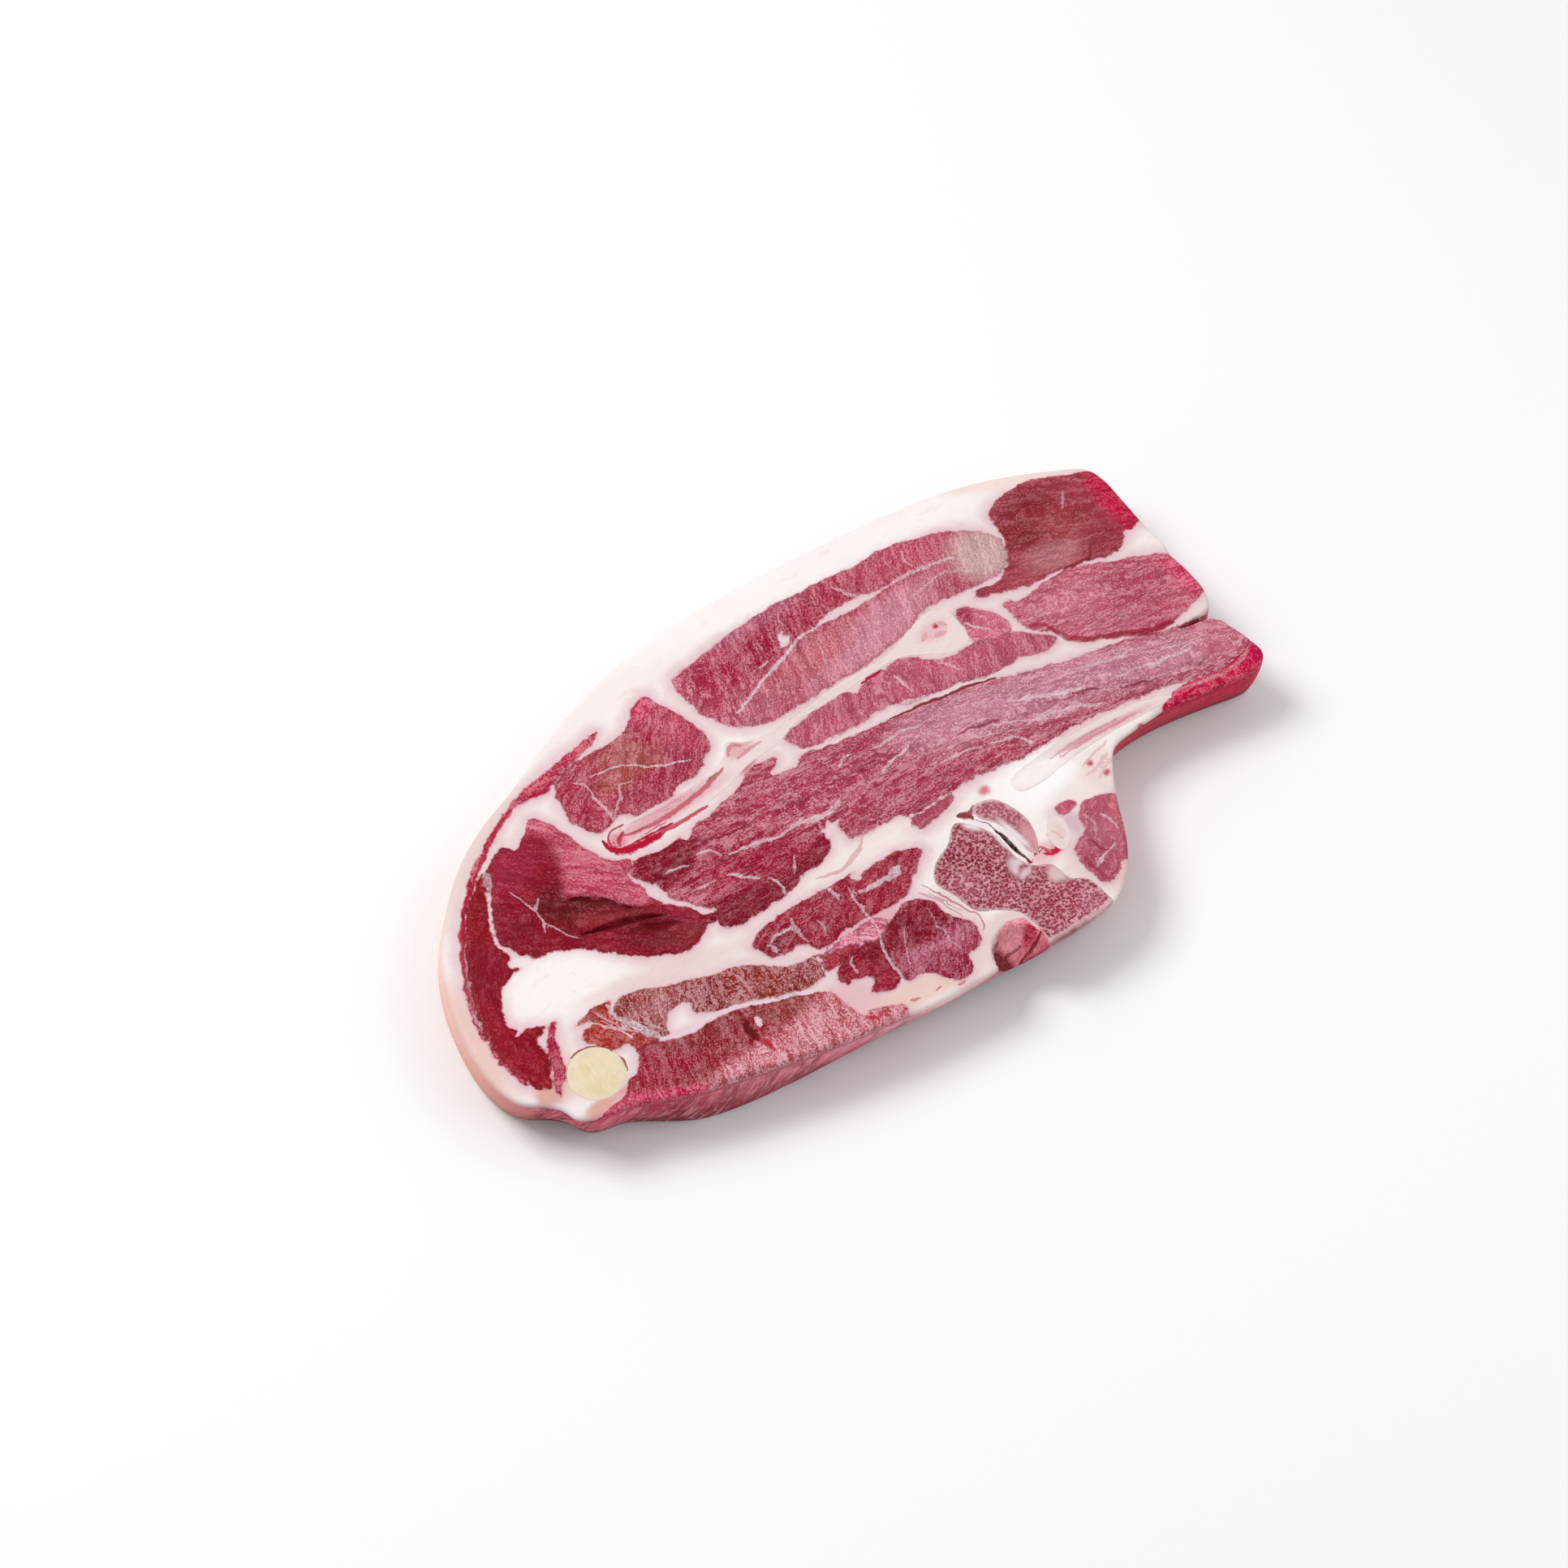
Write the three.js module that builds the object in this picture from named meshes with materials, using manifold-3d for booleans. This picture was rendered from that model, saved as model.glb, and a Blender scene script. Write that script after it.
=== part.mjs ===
// A slice of raw lamb shoulder, lying flat: lean muscles in white fat, cut straight through the blade
// bone, the backbone and a rib cartilage. Millimetres, +Z up, origin under the middle of the slice on
// the surface that it lies on. +X runs along the slice, from the rounded breast end to the neck flap.
import * as THREE from 'three'
import { mergeVertices } from 'three/addons/utils/BufferGeometryUtils.js'
import Module from 'manifold-3d'

const wasm = await Module()
wasm.setup()

// Driving sizes
const LENGTH = 205
const WIDTH = 116
const THICKNESS = 16
const MUSCLE_RISE = 0.5
const BONE_RISE = 0.2
const GAP = 0.3
const EDGE_ROUND = 1.1
const FOOT_ROUND = 0.8
const BELLY_BULGE = 0.8
const PAD_SLOPE = 0.6
const PAD_ROOT = 2
const OUTLINE_STEP = 2.8
const FEATURE_STEP = 2.2

// The outlines below were drawn at these sizes round this middle, and are fitted to LENGTH and WIDTH
const DRAWN_LENGTH = 205.1
const DRAWN_WIDTH = 115.4
const DRAWN_MIDDLE = [0.94, 0.05]

const FAT_TOP = THICKNESS - MUSCLE_RISE
const BONE_TOP = THICKNESS + BONE_RISE
const ABOVE = THICKNESS + 4
const BELOW = -2

// The edge of the cut face, anticlockwise from the upper lip of the fissure: x, y and how far the foot
// of the side wall is tucked in below that place.
const EDGE = [
  [97.6, -6.7, 0.2], [100.4, -5.4, 0.5], [101.9, -2, 1], [102, 4, 1], [101.3, 10.4, 1], [101.9, 14, 1],
  [101, 20.6, 1], [100.7, 28, 1], [100.2, 37, 1], [98.6, 41.2, 1], [92, 44.8, 1], [84, 48.4, 1],
  [76, 51.4, 1], [66, 53.8, 1], [52, 55.6, 1], [36, 56.8, 1], [18, 57.4, 1], [0, 57.3, 1],
  [-14, 56.2, 1], [-30, 52.7, 1], [-46, 46.4, 1], [-60, 39.6, 1], [-71.2, 34.6, 0.6],
  [-80.4, 28.4, 0], [-88.4, 20, -1.6], [-93.8, 12.2, -1.8], [-97.8, 4, -0.8], [-100.2, -5, 0],
  [-101, -13, 0.4], [-100.6, -21, 1.5], [-98.4, -27, 3], [-94.8, -30.2, 4], [-91.4, -33.5, 4],
  [-89.6, -37.4, 4], [-85.5, -39.8, 4], [-79, -40.6, 3.6], [-72, -43.3, 2], [-64, -45.8, 0.2],
  [-54, -48.2, 0.4], [-44, -50.6, 1.8], [-32, -53, 3.6], [-20, -54.8, 5], [-8, -56.2, 5.8],
  [2, -56.6, 6], [8, -57, 6], [18, -57.8, 6.2], [28, -57.8, 6.2], [36, -57, 6], [40.4, -55, 5],
  [44, -52, 4], [47, -48, 3], [49.8, -43, 2.6], [52, -37.6, 2.6], [54.6, -32.6, 2.8], [57, -28.6, 3.4],
  [60.4, -24.4, 3.6], [66, -23.2, 4], [76, -23, 4], [86, -24.2, 4], [94, -25.2, 3.6],
  [100.4, -25, 2.6], [103.2, -22.6, 1.6], [102.8, -18, 1], [101.2, -13, 1], [100.4, -10.4, 0.6],
  [98.6, -8.9, 0.2],
]
// The fissure between the neck muscle and the flap, open at the right side
const FISSURE = [[90.6, -7.1], [95, -6.6], [99, -6.2], [101.6, -7], [98.6, -8.4], [95, -7.9]]

// The muscles that the cut crosses, each a smooth closed outline
const MUSCLES = {
  cap: [
    [-14.4, 44], [-4, 46.5], [10, 48.6], [26, 48.5], [42, 47.8], [56, 45.6], [65, 41.6], [70, 34.5],
    [67.5, 28.8], [58, 27.4], [44, 28.4], [32, 24.6], [16, 23.8], [0, 23], [-8, 25.6], [-13, 32],
  ],
  shoulder: [
    [-53, 28], [-51, 35.4], [-44, 38], [-32, 38.6], [-26, 42.6], [-22, 44], [-19, 38.6], [-16.4, 31],
    [-16, 26], [-22, 20.8], [-32, 19.6], [-42, 19.6], [-49, 19.8], [-52.2, 23.6],
  ],
  neck_upper: [
    [71.6, 42], [77, 45], [84, 45.5], [92, 42.4], [99.4, 38.8], [103, 30], [102, 21.4], [96, 21],
    [91, 18.3], [84, 19.4], [72, 21.1], [58, 24.8], [67, 28], [70.6, 34],
  ],
  neck_lower: [
    [61, 20.4], [66, 19.5], [74, 20], [82, 19], [91, 15.2], [99, 12], [103.6, 6], [101.6, -1.4],
    [96, -3.6], [90, -5], [83, -3.2], [75, 0.2], [68.6, 3.2], [66.4, 8], [61.4, 12.6],
  ],
  wedge: [[50.6, 25], [54, 22.6], [58, 18.4], [59, 14], [55.6, 13.4], [52.6, 17.2], [50, 21]],
  under_blade: [
    [-1.4, 16.8], [3, 18.4], [10, 19.6], [18, 19.4], [26, 20.2], [32, 20.2], [37, 17.6], [43, 14.8],
    [52, 14.4], [60, 10.8], [65.6, 6.2], [58, 5.2], [46, 6.6], [36, 8.9], [24, 11], [12, 11.7],
    [3, 12.8],
  ],
  long: [
    [-49, 5.4], [-45.6, 9.2], [-36, 8.4], [-26, 9.8], [-17.4, 13], [-11, 14.9], [-4.6, 12.4],
    [4, 10.9], [20, 8.6], [38, 6.6], [54, 3], [70, -1.2], [82, -4], [90, -6.7], [97.6, -9],
    [102, -14], [102.6, -19], [94, -21], [82, -19], [68, -16.6], [52, -15.3], [34, -14.8],
    [16, -14.3], [2, -12.5], [-8, -12.2], [-22, -15.6], [-34, -17], [-39, -14.4], [-40, -9],
    [-44.6, -3.6], [-45.4, 1],
  ],
  breast: [
    [-82.2, 8.4], [-80, 15.2], [-75.8, 23], [-70, 27.6], [-66, 27], [-60.4, 30.6], [-57, 26],
    [-52.8, 15], [-48, 9.4], [-49.4, 3.6], [-45, -5], [-41, -11], [-43, -14.2], [-50, -15.4],
    [-58, -11.6], [-66, -4.2], [-75, 0],
  ],
  rim: [
    [-76.4, 22.8], [-80.6, 14.8], [-83, 8], [-83, 0.8], [-88, -3], [-90.6, -9], [-88, -14.6],
    [-87.6, -22], [-91, -27.4], [-95.2, -22], [-96.8, -12], [-95.4, -1], [-91, 9.2], [-84.6, 18.8],
    [-78.4, 25.4],
  ],
  skin: [
    [-36.6, 42.3], [-46, 40.8], [-58, 38.2], [-68, 33.2], [-77, 27], [-75, 25.2], [-71, 28.8],
    [-64.6, 33.4], [-56, 35], [-47, 37.4], [-38.4, 39.6],
  ],
  belly_upper: [
    [-69, -19], [-60, -19.6], [-50, -22.6], [-40, -26.4], [-31, -31.6], [-27, -34.4], [-30, -37.2],
    [-40, -34.6], [-48, -31.8], [-56, -30.4], [-64, -30], [-67.4, -24.4],
  ],
  belly_lower: [
    [-74.4, -36], [-71, -33], [-66, -31.8], [-56, -33.4], [-46, -34.6], [-36, -37.6], [-28, -40.4],
    [-27, -46], [-34, -50], [-46, -48], [-58, -45], [-68, -41],
  ],
  chine_upper: [
    [-36, -23.4], [-31, -20.4], [-20, -19.5], [-6, -19.8], [6, -21.2], [7.6, -24.4], [1.6, -29.2],
    [-8, -31], [-20, -31.4], [-26, -29.2], [-33, -27.6],
  ],
  chine_lower: [
    [-24.6, -35], [-16, -35.4], [-6, -34], [0, -32.4], [3.2, -36], [5, -41], [7, -45.4], [4, -49.8],
    [-1.4, -53.6], [-8, -49], [-18, -47.2], [-21.6, -41],
  ],
  neck_strip: [
    [40, -31], [44.4, -31.8], [49, -32.6], [54.4, -36.4], [50, -45], [43, -50], [39.2, -52],
    [37.2, -46.4], [37.8, -41], [42.6, -37],
  ],
}

// The bones that the cut crosses
const BLADE = [
  [-49, 15.6], [-47.2, 18.4], [-42, 18.6], [-30, 18.1], [-20, 18.9], [-15.6, 20.8], [-12.6, 23.6],
  [-9.4, 21.6], [-2, 20.6], [16, 22.8], [32, 23.6], [39, 26.4], [45.6, 28], [49, 25], [48.6, 16.6],
  [43.4, 16], [38.4, 18.6], [33, 21.2], [16, 20.5], [3, 19.6], [-3, 17.4], [-12, 16.3], [-19, 13.9],
  [-28, 12.7], [-40, 12.9], [-46.8, 13.6],
]
const VERTEBRA = [
  [18.6, -21.6], [22, -24.4], [24.6, -29.4], [25.2, -36], [27.2, -39.6], [30.8, -41.8],
  [32.2, -46.6], [35.4, -49], [36.6, -54], [36.6, -61], [28, -62], [19.8, -61], [19.6, -53],
  [18.2, -47.6], [14.4, -44.4], [10.4, -42], [8.4, -36], [6.8, -31.6], [9.2, -27.8], [14.6, -25],
]
const ARTICULAR_PROCESS = [
  [24.4, -20.2], [29, -20.8], [31.8, -25], [32.8, -30], [31.6, -34.8], [29.8, -37.4], [28.6, -36],
  [28.2, -31.6], [26.8, -26.8], [23.9, -22.6],
]
const SPINOUS_PROCESS = [
  [35.6, -19.4], [44, -17.4], [58, -16.8], [69, -17.6], [76.4, -19.4], [79, -20.8], [73, -21.2],
  [61, -21], [50, -21.8], [40.6, -23.2], [35.6, -22.4],
]
const RIB_END = { centre: [36.9, -35.8], radii: [4.4, 2.4], turn: 70, sides: 28 }
const CARTILAGE = { centre: [-80.8, -30.4], radii: [6.3, 6.3], turn: 0, sides: 40 }

// The bones near a tucked wall lean with it: how far their feet are shifted in x and y
const LEANS = { spinous_process: [0, 3.6], cartilage_disc: [3, 3] }

// Cuts into the face: folds between muscles, the gap of the backbone's joint and the spinal canal
const FOLDS = [
  { path: [[-64, 8.4], [-59.6, 5.8], [-56, 2.6], [-53.6, -0.4]], width: 1.3, depth: 2.2 },
  { path: [[-63, -0.8], [-58, -2.3], [-53.6, -3.5], [-49.4, -5.2]], width: 1.7, depth: 2.6 },
]
const JOINT_GAP = { outline: [[25.7, -27.4], [25.9, -33], [26, -37], [27.6, -37.4], [26.9, -32]], depth: 9 }
const CANAL = { centre: [12.6, -56.2], height: THICKNESS + 1.6, radii: [6.4, 7.6, 8.6] }

// A drawn place in the slice's own frame
function place([x, y]) {
  const [middleX, middleY] = DRAWN_MIDDLE
  return new THREE.Vector2((x - middleX) * LENGTH / DRAWN_LENGTH, (y - middleY) * WIDTH / DRAWN_WIDTH)
}

function closedCurve(points) {
  const corners = points.map((p) => new THREE.Vector3(p.x, p.y, 0))
  return new THREE.CatmullRomCurve3(corners, true, 'centripetal')
}

const flat = ({ x, y }) => new THREE.Vector2(x, y)

// Points at even steps on a smooth closed curve through the drawn ones
function smoothLoop(points, step) {
  const curve = closedCurve(points.map(place))
  const count = Math.max(12, Math.round(curve.getLength() / step))
  return curve.getSpacedPoints(count).slice(0, count).map(flat)
}

function ellipseLoop({ centre, radii, turn, sides }) {
  const { x, y } = place(centre)
  const curve = new THREE.EllipseCurve(x, y, ...radii, 0, 2 * Math.PI, false, THREE.MathUtils.degToRad(turn))
  return curve.getPoints(sides).slice(0, sides)
}

// A loop moved outwards by a distance, or inwards by a negative one
function grow(loop, distance) {
  const side = THREE.ShapeUtils.area(loop) > 0 ? 1 : -1
  const count = loop.length
  return loop.map((point, i) => {
    const before = point.clone().sub(loop[(i + count - 1) % count]).normalize()
    const after = loop[(i + 1) % count].clone().sub(point).normalize()
    const along = before.add(after).normalize()
    return point.clone().add(new THREE.Vector2(along.y, -along.x).multiplyScalar(side * distance))
  })
}

function toSolid(geometry) {
  geometry.deleteAttribute('normal')
  geometry.deleteAttribute('uv')
  const merged = mergeVertices(geometry)
  return new wasm.Manifold(new wasm.Mesh({
    numProp: 3,
    vertProperties: new Float32Array(merged.attributes.position.array),
    triVerts: new Uint32Array(merged.index.array),
  }))
}

function toMesh(name, solid, colour, roughness) {
  const { vertProperties, triVerts } = solid.getMesh()
  const geometry = new THREE.BufferGeometry()
  geometry.setAttribute('position', new THREE.BufferAttribute(new Float32Array(vertProperties), 3))
  geometry.setIndex(new THREE.BufferAttribute(new Uint32Array(triVerts), 1))
  geometry.computeVertexNormals()
  const mesh = new THREE.Mesh(geometry, new THREE.MeshStandardMaterial({ color: colour, roughness, metalness: 0 }))
  mesh.name = name
  return mesh
}

// A closed body through loops of equally many points, each at its own height, from the lowest up
function loft(rings) {
  const count = rings[0].loop.length
  const anticlockwise = rings.map(({ z, loop }) => {
    const forward = THREE.ShapeUtils.area(loop) > 0
    return { z, loop: forward ? loop : [...loop].reverse() }
  })
  const positions = anticlockwise.flatMap(({ z, loop }) => loop.flatMap((p) => [p.x, p.y, z]))
  const faces = []
  for (let level = 0; level + 1 < rings.length; level++) {
    for (let i = 0; i < count; i++) {
      const next = (i + 1) % count
      const low = level * count
      const high = low + count
      faces.push(low + i, low + next, high + next, low + i, high + next, high + i)
    }
  }
  const lid = (rings.length - 1) * count
  for (const [a, b, c] of THREE.ShapeUtils.triangulateShape(anticlockwise[0].loop, [])) faces.push(a, c, b)
  for (const [a, b, c] of THREE.ShapeUtils.triangulateShape(anticlockwise.at(-1).loop, [])) {
    faces.push(lid + a, lid + b, lid + c)
  }
  const geometry = new THREE.BufferGeometry()
  geometry.setAttribute('position', new THREE.BufferAttribute(new Float32Array(positions), 3))
  geometry.setIndex(faces)
  return toSolid(geometry)
}

// An upright block over a loop
function prism(loop, low, high) {
  return loft([{ z: low, loop }, { z: high, loop }])
}

// What a bone takes up between below the slice and above it, its outline drawn on its sawn top
function bore(loop, [leanX, leanY] = [0, 0]) {
  const level = (z) => {
    const share = 1 - z / BONE_TOP
    return { z, loop: loop.map(({ x, y }) => new THREE.Vector2(x + leanX * share, y + leanY * share)) }
  }
  return loft([level(BELOW), level(ABOVE)])
}

// A low pad with a sloping rim, as a cut muscle stands up from the fat round it
function pad(loop) {
  return loft([
    { z: FAT_TOP - PAD_ROOT, loop },
    { z: FAT_TOP, loop },
    { z: THICKNESS, loop: grow(loop, -PAD_SLOPE) },
  ])
}

// The whole slice as one body: the foot of the wall is tucked in as each place of the edge says, the
// wall bulges a little, and both rims are rounded.
function sliceBody(top) {
  const edge = EDGE.map(place)
  const count = edge.length
  const foot = edge.map((point, i) => {
    const along = edge[(i + 1) % count].clone().sub(edge[(i + count - 1) % count]).normalize()
    const tuck = EDGE[i][2]
    return new THREE.Vector2(point.x - along.y * tuck, point.y + along.x * tuck)
  })
  const samples = Math.round(closedCurve(edge).getLength() / OUTLINE_STEP)
  const sample = (points) => {
    const curve = closedCurve(points)
    return Array.from({ length: samples }, (_, i) => flat(curve.getPoint(i / samples)))
  }
  const head = sample(edge)
  const base = sample(foot)
  const mix = (share) => head.map((point, i) => point.clone().lerp(base[i], share))
  const rings = [
    { z: 0, loop: grow(base, -FOOT_ROUND) },
    { z: FOOT_ROUND, loop: mix(0.95) },
    { z: top * 0.45, loop: grow(mix(0.5), BELLY_BULGE) },
    { z: top - EDGE_ROUND, loop: mix(0.04) },
    { z: top, loop: grow(head, -EDGE_ROUND) },
  ]
  return loft(rings)
}

// A furrow with a spindle-shaped mouth along a path, deepest in the middle
function furrow({ path, width, depth }) {
  const curve = new THREE.CatmullRomCurve3(path.map(place).map(({ x, y }) => new THREE.Vector3(x, y, 0)))
  const steps = 10
  const left = []
  const right = []
  for (let i = 0; i <= steps; i++) {
    const share = i / steps
    const half = 0.5 * width * Math.sin(Math.PI * share) + 0.05
    const point = curve.getPoint(share)
    const along = curve.getTangent(share)
    left.push(new THREE.Vector2(point.x - along.y * half, point.y + along.x * half))
    right.push(new THREE.Vector2(point.x + along.y * half, point.y - along.x * half))
  }
  return prism([...left, ...right.reverse()], THICKNESS - depth, ABOVE)
}

function canal() {
  const geometry = new THREE.SphereGeometry(1, 20, 12)
  const { x, y } = place(CANAL.centre)
  geometry.scale(...CANAL.radii).translate(x, y, CANAL.height)
  return toSolid(geometry)
}

// Everything is laid out round the slice's own middle, so that its box is centred on the origin
const fissure = prism(smoothLoop(FISSURE, 1.2), BELOW, ABOVE)
const boneBody = sliceBody(BONE_TOP).subtract(fissure)
const bones = {
  blade_bone: smoothLoop(BLADE, FEATURE_STEP),
  vertebra: smoothLoop(VERTEBRA, FEATURE_STEP),
  articular_process: smoothLoop(ARTICULAR_PROCESS, 2),
  spinous_process: smoothLoop(SPINOUS_PROCESS, FEATURE_STEP),
  rib_end: ellipseLoop(RIB_END),
  cartilage_disc: ellipseLoop(CARTILAGE),
}

function flesh() {
  let solid = sliceBody(FAT_TOP).subtract(fissure)
  for (const points of Object.values(MUSCLES)) {
    solid = solid.add(pad(smoothLoop(points, FEATURE_STEP)).intersect(boneBody))
  }
  for (const fold of FOLDS) solid = solid.subtract(furrow(fold))
  const { outline, depth } = JOINT_GAP
  solid = solid.subtract(prism(outline.map(place), THICKNESS - depth, ABOVE))
  solid = solid.subtract(canal())
  for (const [name, loop] of Object.entries(bones)) solid = solid.subtract(bore(grow(loop, GAP), LEANS[name]))
  return solid
}

const BONE_COLOURS = {
  blade_bone: 0xf1dcd8,
  vertebra: 0xa65a62,
  articular_process: 0xc98a90,
  spinous_process: 0xf3e6e0,
  rib_end: 0xf0e6e4,
  cartilage_disc: 0xe9dcb4,
}

const group = new THREE.Group()
group.add(toMesh('flesh', flesh(), 0xb2505f, 0.45))
for (const [name, loop] of Object.entries(bones)) {
  const solid = bore(loop, LEANS[name]).intersect(boneBody)
  group.add(toMesh(name, solid, BONE_COLOURS[name], 0.5))
}

export default group
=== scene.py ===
"""A slice of raw lamb shoulder: the look of the flesh, its fat and the sawn bones round the CAD part."""

import math

import bpy
import numpy as np
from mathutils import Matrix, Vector, kdtree, noise
from mathutils.geometry import delaunay_2d_cdt


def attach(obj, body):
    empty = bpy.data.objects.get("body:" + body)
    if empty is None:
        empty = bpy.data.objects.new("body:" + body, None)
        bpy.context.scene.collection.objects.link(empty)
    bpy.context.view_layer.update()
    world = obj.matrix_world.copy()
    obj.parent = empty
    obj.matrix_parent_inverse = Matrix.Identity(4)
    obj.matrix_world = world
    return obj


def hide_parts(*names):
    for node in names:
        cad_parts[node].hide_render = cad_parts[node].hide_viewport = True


# Sizes in millimetres, in the frame of the CAD part
MM = 0.001
LENGTH = 205.0
WIDTH = 116.0
THICKNESS = 16.0
DRAWN_SIZE = np.array([205.1, 115.4])
DRAWN_MIDDLE = np.array([0.94, 0.05])
MUSCLE_RISE = 0.5
BONE_RISE = 0.04
FAT_TOP = THICKNESS - MUSCLE_RISE
BONE_TOP = FAT_TOP + BONE_RISE
EDGE_ROUND = 1.1
SLOT_ROUND = 0.3
FOOT_ROUND = 0.8
BELLY_BULGE = 0.8
FINE_STEP = 0.62
BONE_STEP = 0.5
COARSE_STEP = 2.2
BONE_OVERLAP = 0.15
HOLE_INSET = 0.25
FOOT_EASE = 3.5
LEANS = {"spinous_process": (0, 3.6), "cartilage_disc": (3, 3)}
# How far a place at the foot of the wall is seen from the one above it, in the plan of the cut face
FOOT_SHIFT = np.array([-5.03, -7.75])

# Distances to lines and loops aren't told apart past this one
FAR = 8.0
# What a point away from every line, or off the wall, has instead of its way to a line or its time
OFF_LINE = (0.0, 0.0, 9.0)
NO_TIME = -1.0

# How the photo's colours turn into surface colours under the lights below
LIGHT_GAIN = 1.3
SURFACE_VEIL = 0.012
WALL_GAIN = 1.45
WALL_LIMIT = 0.86

# The colours of the meat as the photo shows them, first for places and then for the materials' patterns
COLOURS = {
    "black_red": "48060F", "wine": "6C1722", "maroon": "7C2030", "garnet": "8A1C32", "russet": "8C3438",
    "crimson": "A01E38", "ruby": "A23048", "brick": "984640", "blood": "B81C3E", "scarlet": "C62A4A",
    "cherry": "AE3C50", "terracotta": "A85850", "plum": "B05068", "rose": "B4607A", "dusty_rose": "BC6C80",
    "coral": "C25468", "hot_pink": "D04A6A", "salmon": "C87078", "pink": "D07C8E", "mauve": "C88A9C",
    "pale_mauve": "D894A6", "shell": "DE9098", "peach": "DCA498", "apricot": "D29684", "ash": "D0ACA8",
    "blush": "E2A4AE", "lilac": "D4B4C2", "rosy_fat": "E6BAC0", "warm_fat": "EAC6BC", "skin": "E6D0CC",
    "bone": "E8D8DC", "milk": "EEE4E6", "fat": "F2E4E1", "cream": "F4DCD6", "white": "FBF5F3",
    "pure": "FFFBFA", "dusk": "B8747A", "shade_lifting_pink": "FFA8B4", "thin_fat": "E6CACE", "deep_fat": "F6ECEA",
    "seam_fat": "EAD4DA", "speck": "EAC4CE", "vein": "DDB4AE", "fat_strand": "E4A8A8",
    "border_blush": "DE9AA6", "wall_fold_shade": "6A1626", "wall_sheen": "DC98A6", "rind_streak": "D08A74",
    "pore": "B0485E", "bone_wall": "E2A8B2", "bone_rim": "E8CDD0", "bone_face": "EDDADA",
    "process_marrow": "A84C60", "vertebra_marrow": "98384C", "disc": "EBDCB4", "ivory": "EEDFC0",
    "straw": "E6D5AC", "gold": "DECC92", "ivory_rim": "EEDCC8",
}

# The edge of the cut face, anticlockwise from the upper lip of the fissure: x, y, how far the foot of
# the wall is tucked in there, and what the wall shows: fat, membrane, lean or slot
EDGE = [
    (97.6, -6.7, 0.2, "lean"), (100.4, -5.4, 0.5, "fat"), (101.9, -2, 1, "lean"), (102, 4, 1, "lean"),
    (101.3, 10.4, 1, "lean"), (101.9, 14, 1, "fat"), (101, 20.6, 1, "lean"), (100.7, 28, 1, "lean"),
    (100.2, 37, 1, "lean"), (98.6, 41.2, 1, "fat"), (92, 44.8, 1, "fat"), (84, 48.4, 1, "fat"),
    (76, 51.4, 1, "fat"), (66, 53.8, 1, "fat"), (52, 55.6, 1, "fat"), (36, 56.8, 1, "fat"),
    (18, 57.4, 1, "fat"), (0, 57.3, 1, "fat"), (-14, 56.2, 1, "fat"), (-30, 52.7, 1, "fat"),
    (-46, 46.4, 1, "fat"), (-60, 39.6, 1, "fat"), (-71.2, 34.6, 0.6, "fat"), (-80.4, 28.4, 0, "fat"),
    (-88.4, 20, -1.6, "fat"), (-93.8, 12.2, -1.8, "fat"), (-97.8, 4, -0.8, "fat"), (-100.2, -5, 0, "fat"),
    (-101, -13, 0.4, "fat"), (-100.6, -21, 1.5, "fat"), (-98.4, -27, 3, "fat"),
    (-94.8, -30.2, 4, "membrane"), (-91.4, -33.5, 4, "membrane"), (-89.6, -37.4, 4, "membrane"),
    (-85.5, -39.8, 4, "membrane"), (-79, -40.6, 3.6, "membrane"), (-72, -43.3, 2, "membrane"),
    (-64, -45.8, 0.2, "membrane"), (-54, -48.2, 0.4, "membrane"), (-44, -50.6, 1.8, "membrane"),
    (-32, -53, 3.6, "membrane"), (-20, -54.8, 5, "membrane"), (-8, -56.2, 5.8, "fat"), (2, -56.6, 6, "fat"),
    (8, -57, 6, "membrane"), (18, -57.8, 6.2, "lean"), (28, -57.8, 6.2, "lean"), (36, -57, 6, "fat"),
    (40.4, -55, 5, "fat"), (44, -52, 4, "fat"), (47, -48, 3, "lean"), (49.8, -43, 2.6, "lean"),
    (52, -37.6, 2.6, "lean"), (54.6, -32.6, 2.8, "fat"), (57, -28.6, 3.4, "fat"),
    (60.4, -24.4, 3.6, "lean"), (66, -23.2, 4, "lean"), (76, -23, 4, "lean"), (86, -24.2, 4, "lean"),
    (94, -25.2, 3.6, "lean"), (100.4, -25, 2.6, "lean"), (103.2, -22.6, 1.6, "lean"),
    (102.8, -18, 1, "lean"), (101.2, -13, 1, "lean"), (100.4, -10.4, 0.6, "lean"),
    (98.6, -8.9, 0.2, "slot"), (96.4, -8.3, 0, "slot"), (93.6, -7.8, 0, "slot"), (90.6, -7.1, 0, "slot"),
    (93.4, -6.8, 0, "slot"), (95.6, -6.6, 0, "slot"),
]

# The bones that the cut crosses
BLADE = [
    (-49, 15.6), (-47.2, 18.4), (-42, 18.6), (-30, 18.1), (-20, 18.9), (-15.6, 20.8), (-12.6, 23.6),
    (-9.4, 21.6), (-2, 20.6), (16, 22.8), (32, 23.6), (39, 26.4), (45.6, 28), (49, 25), (48.6, 16.6),
    (43.4, 16), (38.4, 18.6), (33, 21.2), (16, 20.5), (3, 19.6), (-3, 17.4), (-12, 16.3), (-19, 13.9),
    (-28, 12.7), (-40, 12.9), (-46.8, 13.6),
]
VERTEBRA = [
    (18.6, -21.6), (22, -24.4), (24.6, -29.4), (25.2, -36), (27.2, -39.6), (30.8, -41.8), (32.2, -46.6),
    (35.4, -49), (36.6, -54), (36.6, -61), (28, -62), (19.8, -61), (19.6, -53), (18.2, -47.6),
    (14.4, -44.4), (10.4, -42), (8.4, -36), (6.8, -31.6), (9.2, -27.8), (14.6, -25),
]
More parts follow.
